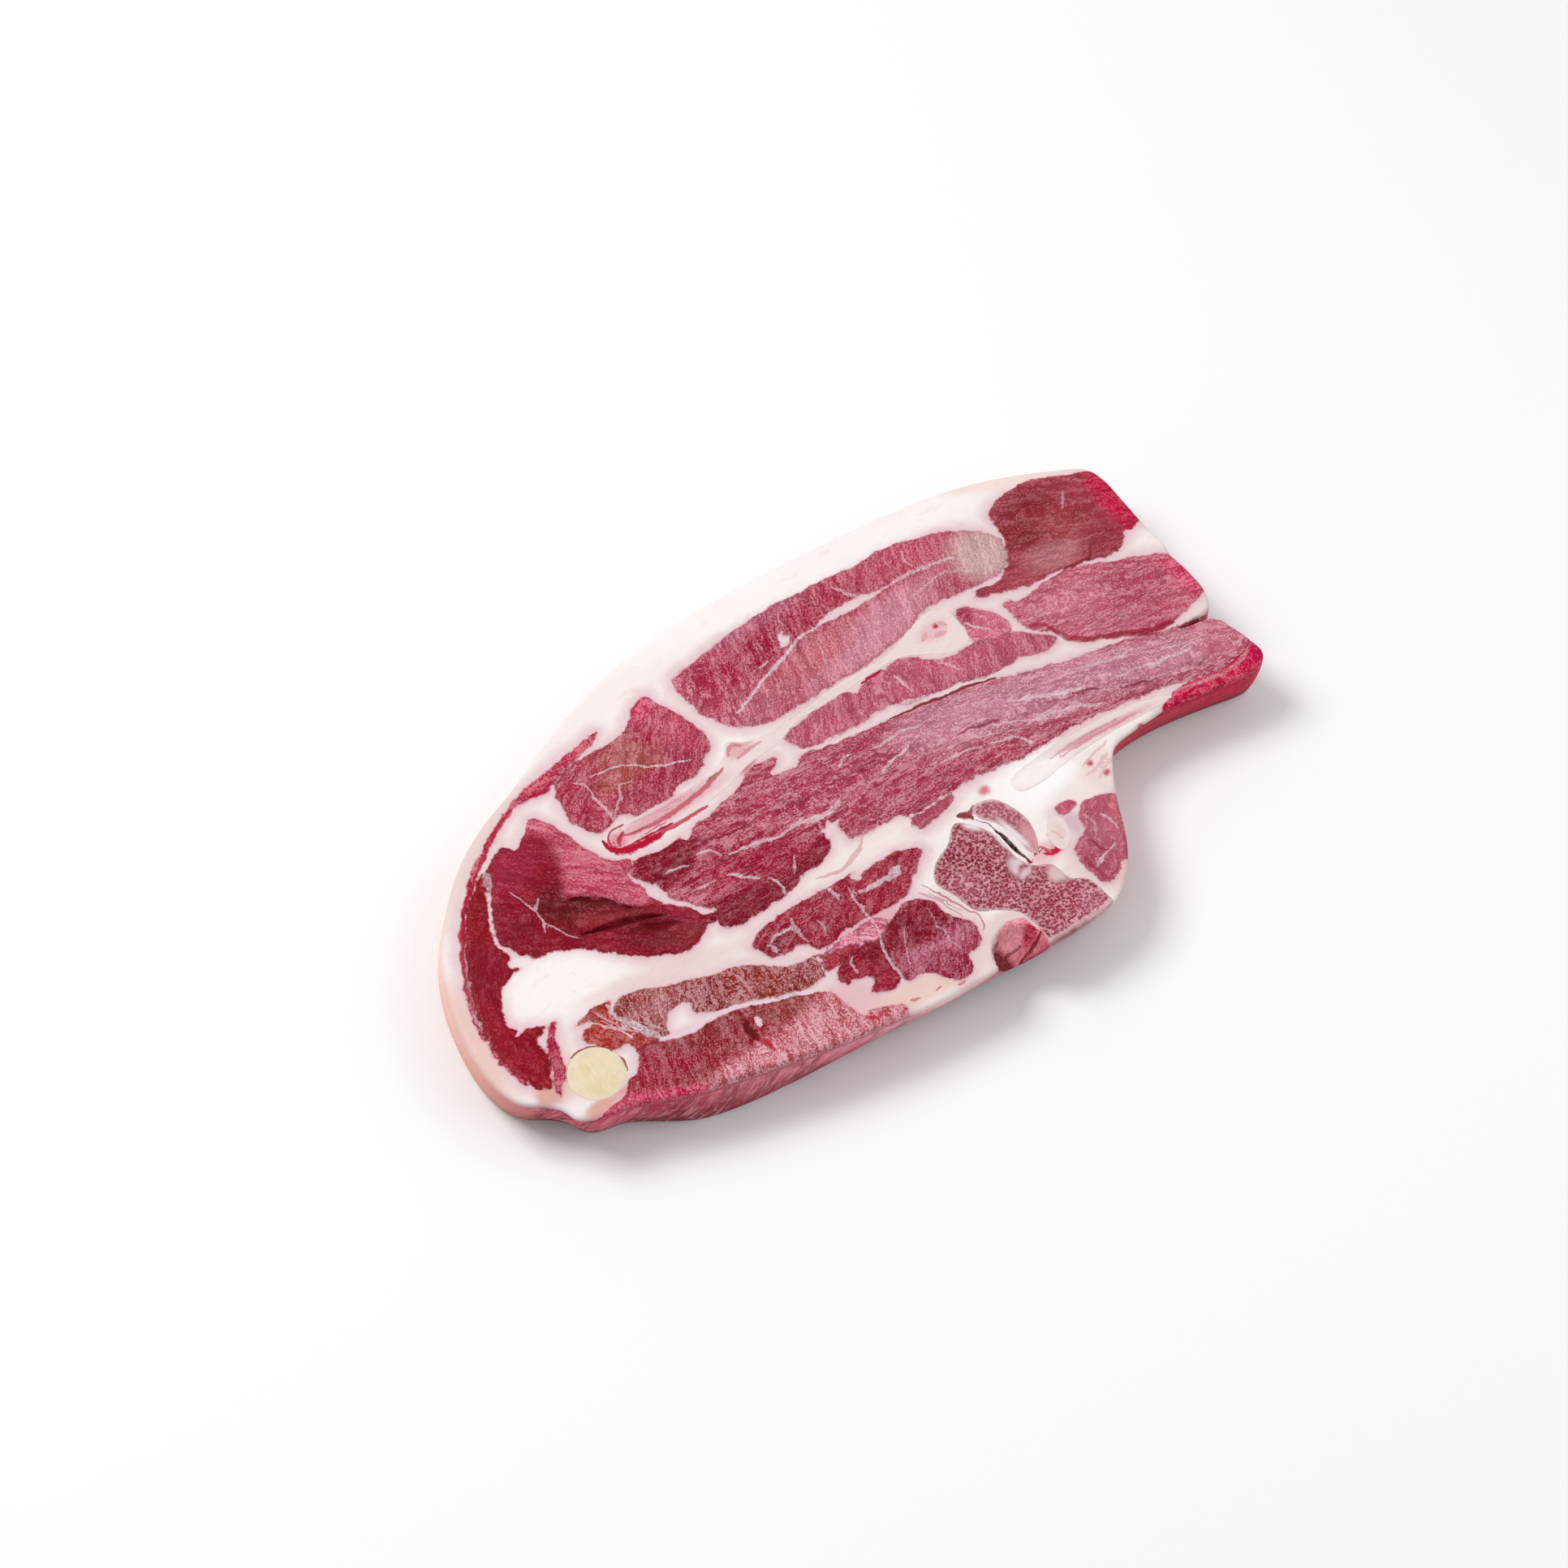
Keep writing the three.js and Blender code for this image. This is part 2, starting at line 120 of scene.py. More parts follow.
ARTICULAR_PROCESS = [
    (24.4, -20.2), (29, -20.8), (31.8, -25), (32.8, -30), (31.6, -34.8), (29.8, -37.4), (28.6, -36),
    (28.2, -31.6), (26.8, -26.8), (23.9, -22.6),
]
SPINOUS_PROCESS = [
    (35.6, -19.4), (44, -17.4), (58, -16.8), (69, -17.6), (76.4, -19.4), (79, -20.8), (73, -21.2),
    (61, -21), (50, -21.8), (40.6, -23.2), (35.6, -22.4),
]
RIB_END = {"centre": (36.9, -35.8), "radii": (4.4, 2.4), "turn": 70}
CARTILAGE = {"centre": (-80.8, -30.4), "radii": (6.3, 6.3), "turn": 0}
# Each bone's outline, the step between its points, its kind and the colour of its sawn face
BONES = {
    "blade_bone": (BLADE, 0.55, "bone", "bone_face"),
    "articular_process": (ARTICULAR_PROCESS, 0.5, "spongy", "process_marrow"),
    "spinous_process": (SPINOUS_PROCESS, 0.55, "bone", "bone_face"),
    "rib_end": (RIB_END, 0.5, "bone", "bone_face"),
    "cartilage_disc": (CARTILAGE, 0.5, "cartilage", "disc"),
    "vertebra": (VERTEBRA, 0.5, "spongy", "vertebra_marrow"),
}

# Each muscle: its lean colour as the photo shows it, how much pale fleck and winding marbling it has,
# the way its fibres run, and its outline
MUSCLES = {
    "cap": {
        "colour": "B8566A", "fleck": 0.55, "marble": 0.1, "grain": [(-20, 10), (10, 90)],
        "outline": [(-14.5, 44), (-6, 46), (3, 47.8), (16, 48.8), (28, 48.4), (40, 47.6), (44, 48.1),
            (54, 46.3), (61, 43.8), (66, 41), (69.8, 36.5), (70.3, 34.5), (69, 30.2), (65.5, 27.8),
            (60, 27.8), (52, 28.3), (48, 29), (42, 28), (36, 25.6), (28, 24), (16, 23.4), (0, 22.8),
            (-5, 24.2), (-8.5, 26), (-12.5, 31), (-14.6, 38.5)],
    },
    "shoulder": {
        "colour": "B04A5C", "fleck": 0.45, "marble": 0.1, "grain": [(-70, 0), (-10, 60)],
        "outline": [(-53, 27), (-52, 33), (-50, 36), (-46, 37.6), (-40, 38.1), (-32, 38.2), (-29.5, 39.8),
            (-26, 42.5), (-22, 44.3), (-20.5, 41), (-18.5, 37.5), (-16.6, 32), (-15.6, 27.3), (-17.5, 24.3),
            (-21, 21.5), (-23.5, 20.4), (-28, 20.2), (-31, 18.7), (-37, 18.8), (-40, 18.8), (-43, 20.6),
            (-47, 19.8), (-49, 19.3), (-51.5, 22)],
    },
    "neck_upper": {
        "colour": "A34350", "fleck": 0.25, "marble": 0.1, "grain": [(50, 50), (120, 20)],
        "outline": [(71.6, 42), (71.5, 40.5), (71.6, 37), (70.2, 32.5), (67, 28), (63, 26), (57, 26.6),
            (56, 25), (62, 23.2), (68, 21.2), (76, 20.9), (84, 19.2), (88, 18.2), (91, 18), (95, 20),
            (96, 21.5), (103, 20.9), (103, 38), (99, 40.2), (97, 40.5), (91, 43.2), (85, 45.3), (79, 45.4),
            (73, 43.6)],
    },
    "neck_lower": {
        "colour": "C06074", "fleck": 0.5, "marble": 0.15, "grain": [(50, 20), (120, 0)],
        "outline": [(61, 20.6), (63.2, 19.6), (65, 19.2), (72, 20), (79, 20), (85, 17.8), (91, 15.3),
            (96, 13.6), (103, 10), (104, 0), (100, -2.6), (97, -3.2), (91, -5.2), (85, -4.2), (79, -1.6),
            (73, 1), (68.5, 3), (67.5, 6), (65, 9), (62, 11.6), (61, 16)],
    },
    "wedge": {
        "colour": "D4768E", "fleck": 0.45, "marble": 0.1, "grain": [(45, 25), (65, 10)],
        "outline": [(50.3, 25), (52, 24.9), (54, 23.4), (56, 21.2), (58.5, 17.8), (59.2, 15.4),
            (57.6, 13.4), (55, 12.6), (50.4, 14.4), (49.3, 16), (49.4, 19), (49.6, 22)],
    },
    "under_blade": {
        "colour": "BE6078", "fleck": 0.5, "marble": 0.1, "grain": [(10, -20), (40, 60)],
        "outline": [(-1.5, 16.8), (0.5, 18.4), (5, 19.4), (12, 20.2), (18, 20), (19, 18.4), (20.5, 19),
            (24, 20.6), (29, 20.5), (30.5, 21.2), (35, 20), (38, 17), (43, 15.2), (50, 15), (58, 13),
            (63, 9), (66, 6), (62, 4.2), (54, 6), (47, 6.2), (40, 8.2), (32, 9.2), (26.5, 9.8), (24, 11.8),
            (14, 11.4), (6, 12), (1, 13.2), (-1, 15.5)],
    },
    "long": {
        "colour": "AE4A5F", "fleck": 0.6, "marble": 0.15, "grain": [(-70, 5), (-20, 1), (15, -1), (45, -5),
            (75, -11), (120, -24)],
        "outline": [(-49.5, 7), (-46, 9.4), (-40, 8.3), (-34.5, 8.7), (-33.8, 7.4), (-31, 9), (-24, 10.6),
            (-17, 12.5), (-12, 15), (-8, 15), (-5.5, 14.5), (-6, 13), (-8, 12), (-9, 11.4), (-3, 10),
            (0, 11.8), (8, 10.2), (20, 8.8), (34, 7), (46, 5), (58, 1.6), (70, -1.2), (82, -3.6),
            (90, -6.2), (98, -8), (104, -11), (106, -17), (100, -19.4), (92, -21), (84, -19.3), (79, -18),
            (68, -16.5), (60, -15.4), (48, -15.4), (41, -15.8), (34, -14.6), (20, -14.2), (11, -14.4),
            (9.5, -13.3), (4, -12.8), (-3.5, -12), (-3, -10.8), (-4, -9.4), (-6, -9), (-8.5, -12),
            (-12, -13.8), (-15, -13.6), (-17, -14.2), (-24, -16.2), (-32, -16.8), (-35, -17.1),
            (-39, -14.8), (-38, -11), (-40, -8.5), (-42.5, -5.2), (-45, -2.8), (-45.2, 1), (-47.5, 3.4),
            (-49, 6)],
    },
    "long_strip": {
        "colour": "B4566A", "fleck": 0.3, "marble": 0, "grain": [(0, -16), (30, -16)],
        "outline": [(10, -17), (11, -15.5), (16, -15), (22.5, -15), (20, -17), (12.5, -18.6)],
    },
    "breast": {
        "colour": "90202F", "fleck": 0.12, "marble": 0.05, "grain": [(-90, 20), (-40, -15)],
        "outline": [(-76, 24), (-73, 26.5), (-69.5, 28), (-67, 26), (-64, 28), (-60.5, 31), (-57.5, 27.5),
            (-54.5, 20), (-51.5, 13), (-47, 9.8), (-49.8, 7), (-48.5, 2.2), (-48.3, -0.5), (-46, -3.8),
            (-42, -8), (-40.5, -10.5), (-37, -12), (-42, -13.8), (-46, -15.5), (-48.5, -16.2), (-52, -14.8),
            (-58, -11.8), (-62, -8), (-66, -4.5), (-67, -3.2), (-71, -1.5), (-76, 0.2), (-78, 1),
            (-82.2, 8), (-81.6, 11), (-79.6, 15), (-78, 19)],
    },
    "rim": {
        "colour": "94142A", "fleck": 0.1, "marble": 0.05, "grain": [(-70, 30), (-95, 0), (-92, -40)],
        "outline": [(-76.4, 24.6), (-76.8, 22.4), (-79, 18.4), (-80.6, 14.8), (-82.9, 9), (-82.4, 5),
            (-81.8, 3.8), (-83.4, 1.6), (-81, 0), (-84, -0.6), (-87, -1.8), (-89, -4.6), (-91.2, -10),
            (-89.8, -11.8), (-91, -13.3), (-88, -13.2), (-84.2, -15), (-87, -16.5), (-87.5, -17.5),
            (-87, -20), (-89, -25), (-90.6, -28), (-93.4, -26.4), (-95.4, -21), (-96.4, -14), (-96, -8),
            (-94.6, -2), (-92.2, 4.6), (-89.6, 10), (-86, 15.6), (-81.6, 20.8)],
    },
    "rim_strand": {
        "colour": "B03A50", "fleck": 0.45, "marble": 0, "grain": [(-84, -10), (-90, -34)],
        "outline": [(-81.8, -14.8), (-83.2, -15), (-85, -17.4), (-87, -20.6), (-88.4, -25), (-90, -28.4),
            (-90.6, -31), (-88.6, -29.4), (-86, -26.4), (-84.8, -22), (-83.4, -18.2)],
    },
    "skin": {
        "colour": "BC4258", "fleck": 0.45, "marble": 0, "grain": [(-30, 42), (-70, 33), (-97, -10)],
        "outline": [(-36, 42.2), (-44, 40.8), (-52, 39.2), (-58, 38), (-62, 36.3), (-66, 34.3), (-71, 31.5),
            (-77, 27.5), (-82.5, 22), (-87, 16.5), (-90.2, 11), (-92.5, 6), (-95.4, -0.5), (-97, -8),
            (-97.3, -12), (-96.6, -19), (-95, -25), (-94.2, -24), (-95.8, -18), (-96.4, -11), (-96, -8),
            (-94.4, -0.8), (-91.5, 5.5), (-89.2, 10.4), (-86.1, 15.7), (-81.7, 21), (-76.3, 26.2),
            (-73, 28.6), (-70, 30.4), (-67, 32.6), (-62, 35), (-58, 35.4), (-54, 34.6), (-52, 35.2),
            (-48, 37.2), (-42, 38.8), (-38, 40.2)],
    },
    "belly_upper": {
        "colour": "96423C", "fleck": 0.7, "marble": 0.35, "grain": [(-50, -52), (-43, -14)],
        "outline": [(-69.6, -19), (-67.4, -18), (-62, -18.5), (-58, -20.4), (-48, -23.6), (-42, -24.8),
            (-37, -27.4), (-34, -30), (-30, -31.6), (-26.2, -32.6), (-26, -36.6), (-29, -38), (-33, -37.6),
            (-36, -36.8), (-40, -35.4), (-46.5, -32.6), (-52, -31.6), (-56, -31.4), (-62, -31.2),
            (-65.4, -29.8), (-68, -25.6), (-69.6, -22)],
    },
    "belly_lobe": {
        "colour": "AE443E", "fleck": 0.4, "marble": 0.2, "grain": [(-78, -16), (-66, -34)],
        "outline": [(-78.2, -18.6), (-76, -17.4), (-72, -16.7), (-68.8, -17.2), (-70.4, -18.4),
            (-70, -21.6), (-68.6, -25), (-66.4, -29), (-65, -31.4), (-70.4, -30.6), (-71.4, -28),
            (-75.2, -27.8), (-76.4, -25.6), (-79, -22.2), (-78.4, -20.6), (-75.8, -20.2), (-75, -19.2)],
    },
    "belly_lower": {
        "colour": "98323A", "fleck": 0.42, "marble": 0.3, "grain": [(-50, -58), (-43, -20)],
        "outline": [(-75.8, -35.4), (-73.5, -35), (-71.4, -31.8), (-70, -29.6), (-66, -31.2), (-60, -33.2),
            (-49, -33.6), (-40, -36.4), (-35, -38), (-31, -39.6), (-27.8, -41.4), (-26.8, -45),
            (-25, -48.6), (-20, -50.6), (-15.6, -53), (-20, -58), (-40, -58), (-56, -54), (-66, -52),
            (-74, -48), (-82, -45), (-90, -42), (-88, -40), (-80, -38.6), (-76.8, -37)],
    },
    "chine_upper": {
        "colour": "9F3344", "fleck": 0.4, "marble": 0.2, "grain": [(-30, -30), (10, -10)],
        "outline": [(-36, -23), (-34, -21), (-29, -19.9), (-22, -19.4), (-14, -19.6), (-7, -19.6),
            (-8, -21), (-4, -20.4), (4, -20.3), (8.5, -22.2), (8.8, -23.2), (6, -25.6), (3, -27.8),
            (0, -30.2), (-5, -31.2), (-10.5, -30.4), (-17, -30.6), (-23, -31.8), (-25.5, -29),
            (-27.4, -28.2), (-33, -27.8)],
    },
    "chine_middle": {
        "colour": "A5303F", "fleck": 0.3, "marble": 0.2, "grain": [(-30, -30), (0, -38)],
        "outline": [(-26, -31.6), (-23, -33.4), (-20, -34), (-15, -34.2), (-17, -35.8), (-21, -36.6),
            (-25.5, -36.9), (-25.2, -34)],
    },
    "chine_left": {
        "colour": "962436", "fleck": 0.2, "marble": 0.15, "grain": [(-26, -40), (-10, -44)],
        "outline": [(-24.2, -38.4), (-19, -36), (-11.6, -36.2), (-12, -40), (-13.2, -47.6), (-19.8, -47.2),
            (-20.4, -46), (-18.4, -44.6), (-23.4, -42)],
    },
    "chine_right": {
        "colour": "9E3850", "fleck": 0.5, "marble": 0.2, "grain": [(-14, -54), (8, -30)],
        "outline": [(-11.4, -36.4), (-8, -34), (-3, -32.3), (-1, -31.8), (2.8, -34.2), (4.8, -40), (8, -44),
            (7.4, -48.5), (3, -50.4), (1.4, -53.8), (-1.5, -54.4), (-5, -51.8), (-7, -49), (-12.6, -48),
            (-12.2, -41)],
    },
    "flap_side": {
        "colour": "C62A50", "fleck": 0.4, "marble": 0, "grain": [(80, -24), (104, -23)],
        "outline": [(74, -23.6), (79, -20.6), (84, -19.8), (90, -21), (96, -20.6), (100, -19.6),
            (104, -17.6), (107, -22), (105, -29), (92, -29), (78, -27)],
    },
    "chine_pale": {
        "colour": "D4768E", "fleck": 0.8, "marble": 0.2, "grain": [(-24, -30), (-6, -42)],
        "outline": [(-23.6, -33), (-19, -32), (-14, -31.4), (-9, -31.6), (-8, -33.8), (-11.4, -36.8),
            (-17, -35), (-21, -34)],
    },
    "canal": {
        "colour": "E07888", "fleck": 0.3, "marble": 0.2, "grain": [(8, -54), (18, -50)],
        "outline": [(10.4, -49.6), (12.6, -48.6), (15.4, -48.4), (17.8, -49.8), (18.8, -52.6), (19.4, -55),
            (18, -60), (6, -60), (6.2, -56), (8, -52.4)],
    },
    "neck_nub": {
        "colour": "CE667E", "fleck": 0.3, "marble": 0, "grain": [(38, -30), (46, -34)],
        "outline": [(39.2, -30.7), (41.6, -29.8), (43.7, -30.2), (44.4, -31.7), (42, -32.5), (40, -32.6)],
    },
    "neck_strip": {
        "colour": "B85E74", "fleck": 0.35, "marble": 0.1, "grain": [(38, -50), (54, -34)],
        "outline": [(43.5, -34), (46, -32.2), (49.5, -32.8), (53.4, -34.4), (56, -37), (50, -47),
            (46.6, -49.4), (44, -49.6), (40.5, -52.5), (38, -52), (36.8, -47), (36.7, -44), (38, -40.5),
            (42, -38.5)],
    },
}

# Fat that lies inside a muscle's outline
FAT_WEDGES = [
    [(10.8, 38.4), (11.6, 39.3), (12.1, 40.9), (13.1, 41.3), (13.4, 40.2), (14.5, 40.3), (14.2, 38.8),
        (12.6, 37.9)],
    [(21, 38.9), (25, 40), (32, 40.4), (38, 39.4), (42, 38.9), (38, 38.4), (32, 37.8), (26, 38)],
    [(52, 4.3), (53, 6), (57, 6), (63, 4), (66, 4.3), (66.8, 6.5), (68, 3.5), (74, 0.4), (80, -2.6),
        (74, -1.6), (66, -0.6), (58, 1.8)],
    [(86, 17.6), (91, 15.4), (97, 13.6), (104, 9.6), (104, 21.4), (97, 20.8), (93, 18.2), (89, 18.1)],
    [(90, -5.4), (96, -3.8), (101, -3), (105, -4), (100, -6), (95, -6.2)],
    [(-74.6, -28), (-71.4, -28.4), (-70.8, -30), (-72.4, -34), (-75, -34.8), (-75.2, -31)],
    [(-61, -27.2), (-57.5, -25.8), (-54.8, -27), (-55.2, -29.4), (-52.4, -31.2), (-50, -32.2), (-56, -33),
        (-60.6, -32.4), (-62.6, -31)],
    [(-22.5, -41.8), (-20, -42.4), (-17.8, -43.8), (-19.2, -45.2), (-20.8, -44.4), (-23, -47),
        (-24.4, -44)],
    [(-45.6, -37.8), (-44.2, -37.7), (-43.8, -39.4), (-45.2, -40.2)],
    [(-26.8, -40), (-25.2, -40), (-23.8, -44), (-22.6, -49.6), (-24.6, -50.4), (-26.2, -46)],
    [(-7.8, -9.4), (-6.8, -7.6), (-8, -6.8), (-6.2, -6.5), (-5, -5), (-4.2, -6.4), (-1.4, -6.2),
        (-3.2, -7.4), (-4, -9.6)],
    [(-7.6, -19.3), (-6.2, -21.6), (-7, -22), (-8.6, -20.6)],
]

# Pale seams between and inside muscles: half-width in mm, strength, path
SEAMS = [
    (0.45, 1.0, [(-7, 28.5), (-3, 30), (3, 33), (9, 35), (15, 37.5), (20, 38.4), (24, 38.8)]),
    (0.5, 0.75, [(40, 38.6), (45, 38.9), (52, 38), (58, 37)]),
    (0.35, 0.6, [(30, 46), (31, 43), (33, 41), (34, 40)]),
    (0.3, 0.5, [(49, 45), (48, 42), (49, 40)]),
    (0.3, 0.45, [(44, 33), (52, 34.6), (57, 33.4), (60, 31)]),
    (0.3, 0.7, [(-45, 20.5), (-45.2, 26), (-45.5, 31.3)]),
    (0.3, 0.6, [(-45.5, 31.3), (-46.4, 32.2), (-47.4, 33)]),
    (0.26, 0.85, [(-43.5, 32.3), (-40, 32.4), (-37, 31.6), (-34, 30), (-31, 28), (-26, 25.6),
        (-21.5, 23.8)]),
    (0.28, 0.6, [(-21.6, 40.2), (-20.6, 42.8), (-18.8, 43.4), (-17.6, 41.6), (-17.4, 39.6)]),
    (0.55, 0.95, [(11.1, 38.4), (12.6, 39.3), (14.2, 38.9)]),
    (0.5, 0.9, [(12.2, 39), (12.7, 40.4), (13.8, 41.2)]),
    (0.35, 0.75, [(3.6, 35.7), (5.2, 36.2), (6.6, 35.9)]),
    (0.25, 0.5, [(15.6, 46.5), (14.6, 44), (15.2, 42)]),
    (0.25, 0.45, [(18.6, 34.6), (18.2, 31), (17.4, 28)]),
    (0.3, 0.6, [(-44.5, 20.5), (-41.5, 24), (-38.5, 27), (-36, 26.5)]),
    (0.3, 0.4, [(90, 38), (88.6, 36), (87, 34)]),
    (0.28, 0.9, [(50, 20.6), (52, 18.2), (54.6, 15)]),
    (0.6, 0.35, [(81, -20), (85, -21.4), (91, -22.2), (97, -21.8), (102.4, -19.4)]),
    (0.2, 0.6, [(66, -10), (72, -10.2), (78, -10.8), (83, -13)]),
    (0.2, 0.6, [(34, -3.6), (42, -6), (50, -9.6), (56, -12.6)]),
    (0.18, 0.6, [(84, -9.4), (90, -11), (96, -12)]),
    (0.2, 0.5, [(28, -4.6), (35, -5.8), (43, -8.6), (49, -11.6)]),
    (0.45, 0.95, [(-3, 12.8), (0, 12.8), (6, 10.9), (16, 10.5), (26.5, 10.2), (34, 8.6), (42, 7.2),
        (48, 5.9), (54, 5)]),
    (0.3, 0.6, [(28.5, 18), (29.2, 15), (30, 12)]),
    (0.28, 0.5, [(36, 19), (40, 15), (42, 11)]),
    (0.4, 0.8, [(-42, 2.6), (-40, 2.4), (-37, 1.6)]),
    (0.35, 0.7, [(-34, 3), (-31, 2), (-29.5, -0.5)]),
    (0.4, 0.85, [(-28, -1), (-24, -1.4), (-21, -2), (-17, -3), (-13, -2.8)]),
    (0.7, 0.8, [(-13, -2.9), (-11, -2.4), (-8, -3.4), (-4, -4), (0, -3)]),
    (0.45, 0.85, [(-31.4, -5), (-29.4, -6.2), (-28, -8), (-25.5, -9.4)]),
    (0.35, 0.6, [(-41, -4), (-37, -4.6), (-34, -5)]),
    (0.35, 0.7, [(-7, -5), (-6.8, -7), (-6.5, -9)]),
    (0.4, 0.7, [(5, 4.5), (7, 5.6), (9, 6.3)]),
    (0.45, 0.85, [(12, -2), (15, -1), (18, -0.3), (21, 0.6)]),
    (0.35, 0.6, [(14, 4), (20, 4.6), (27, 3.6)]),
    (0.35, 0.6, [(24, -7), (30, -7.4), (36, -8.8)]),
    (0.5, 0.9, [(46, -1.8), (50, -3.4), (54, -5), (57, -6.2), (63, -8.3)]),
    (0.4, 0.8, [(37, -8.8), (40, -9.8), (43, -11), (45, -14)]),
    (0.4, 0.75, [(50, -8.5), (55, -10.4), (60, -12), (64, -13.8)]),
    (0.45, 0.8, [(76, -10.8), (81, -11.6), (86, -12.5), (90, -13)]),
    (0.35, 0.6, [(64, -3), (70, -5), (77, -6.4)]),
    (0.3, 0.8, [(-24, -10.6), (-22.6, -13), (-22.8, -15.8)]),
    (0.3, 0.7, [(-16, -9), (-17.4, -11), (-18.4, -13)]),
    (0.22, 0.75, [(-74, 17.6), (-72.4, 13.4), (-71.4, 10.6), (-71.2, 8.6), (-72, 5.4), (-72.6, 4.4)]),
    (0.2, 0.6, [(-71.3, 9.4), (-70.2, 10.8), (-69, 13)]),
    (0.26, 0.7, [(-71.4, 7), (-69.8, 3.6), (-68.6, 1.4), (-67, -0.6)]),
    (0.9, 0.6, [(-76.2, 24.6), (-76.8, 21.6), (-77.4, 20)]),
    (0.35, 0.65, [(-77.4, 20), (-79, 17.4), (-80.4, 14), (-82, 10.6), (-82.6, 8)]),
    (0.32, 0.75, [(-89, 11.6), (-90.6, 8), (-92.6, 4), (-94.4, -0.4), (-95.6, -4), (-96.4, -9)]),
    (0.36, 0.9, [(-75.6, -18.4), (-74.8, -20.4), (-73, -22.4), (-71.4, -24.4), (-70, -27.4)]),
    (0.2, 0.7, [(-73.4, -18.2), (-72.4, -20.6), (-70.6, -23.4), (-69, -27)]),
    (0.42, 1.0, [(-70.4, -17.8), (-70.2, -20.6), (-69.2, -23.4), (-67.6, -26.6), (-65.8, -29.6),
        (-63.4, -31.2)]),
    (0.2, 0.8, [(-69, -21.6), (-67.4, -24.8), (-65.8, -28), (-64.8, -29.8)]),
    (0.2, 0.5, [(-66, -22), (-65.4, -25), (-64.4, -28), (-62.6, -30)]),
    (0.5, 0.95, [(-65, -30.2), (-60, -32.6), (-52, -32.2), (-47, -33.2), (-42, -35.2), (-34, -37.8),
        (-30, -39), (-26, -38)]),
    (0.25, 0.8, [(-26, -32), (-26.2, -35), (-25.8, -38.4)]),
    (0.4, 0.8, [(-33.5, -24.2), (-32.4, -25), (-32, -27.5)]),
    (0.32, 0.8, [(-32.4, -24.6), (-31, -23.8), (-28.5, -23.5), (-26, -24.2), (-25.6, -26)]),
    (0.45, 0.7, [(-25.4, -21.6), (-25.8, -25), (-25.4, -28.4)]),
    (0.6, 0.75, [(-14, -19.6), (-13.8, -21.6), (-13.8, -23.6)]),
    (0.65, 0.9, [(-9, -24), (-7, -24.8), (-4, -24.9), (-1, -24.4), (2, -24), (1, -25.4), (-2, -25.4)]),
    (0.25, 0.75, [(-10.6, -22), (-10.7, -26), (-10.5, -31), (-10.8, -35.6)]),
    (0.3, 0.5, [(-20.6, -25.6), (-20.4, -28), (-21, -30)]),
    (0.34, 1.0, [(-11.2, -35.8), (-12, -38), (-12.6, -43), (-13.2, -49)]),
    (0.2, 0.4, [(-9.6, -46), (-8, -41), (-5, -36.6)]),
    (0.2, 0.4, [(1.4, -36), (0.8, -41), (1.6, -48)]),
    (0.3, 0.6, [(-20.2, -41), (-20.2, -38.6), (-19.4, -37)]),
    (0.35, 0.7, [(38.4, -48), (42, -46), (46, -45)]),
    (0.3, 0.7, [(47, -37), (48.4, -40), (48.6, -43)]),
    (0.3, 0.5, [(44, -35), (44.6, -38), (43.4, -41)]),
]
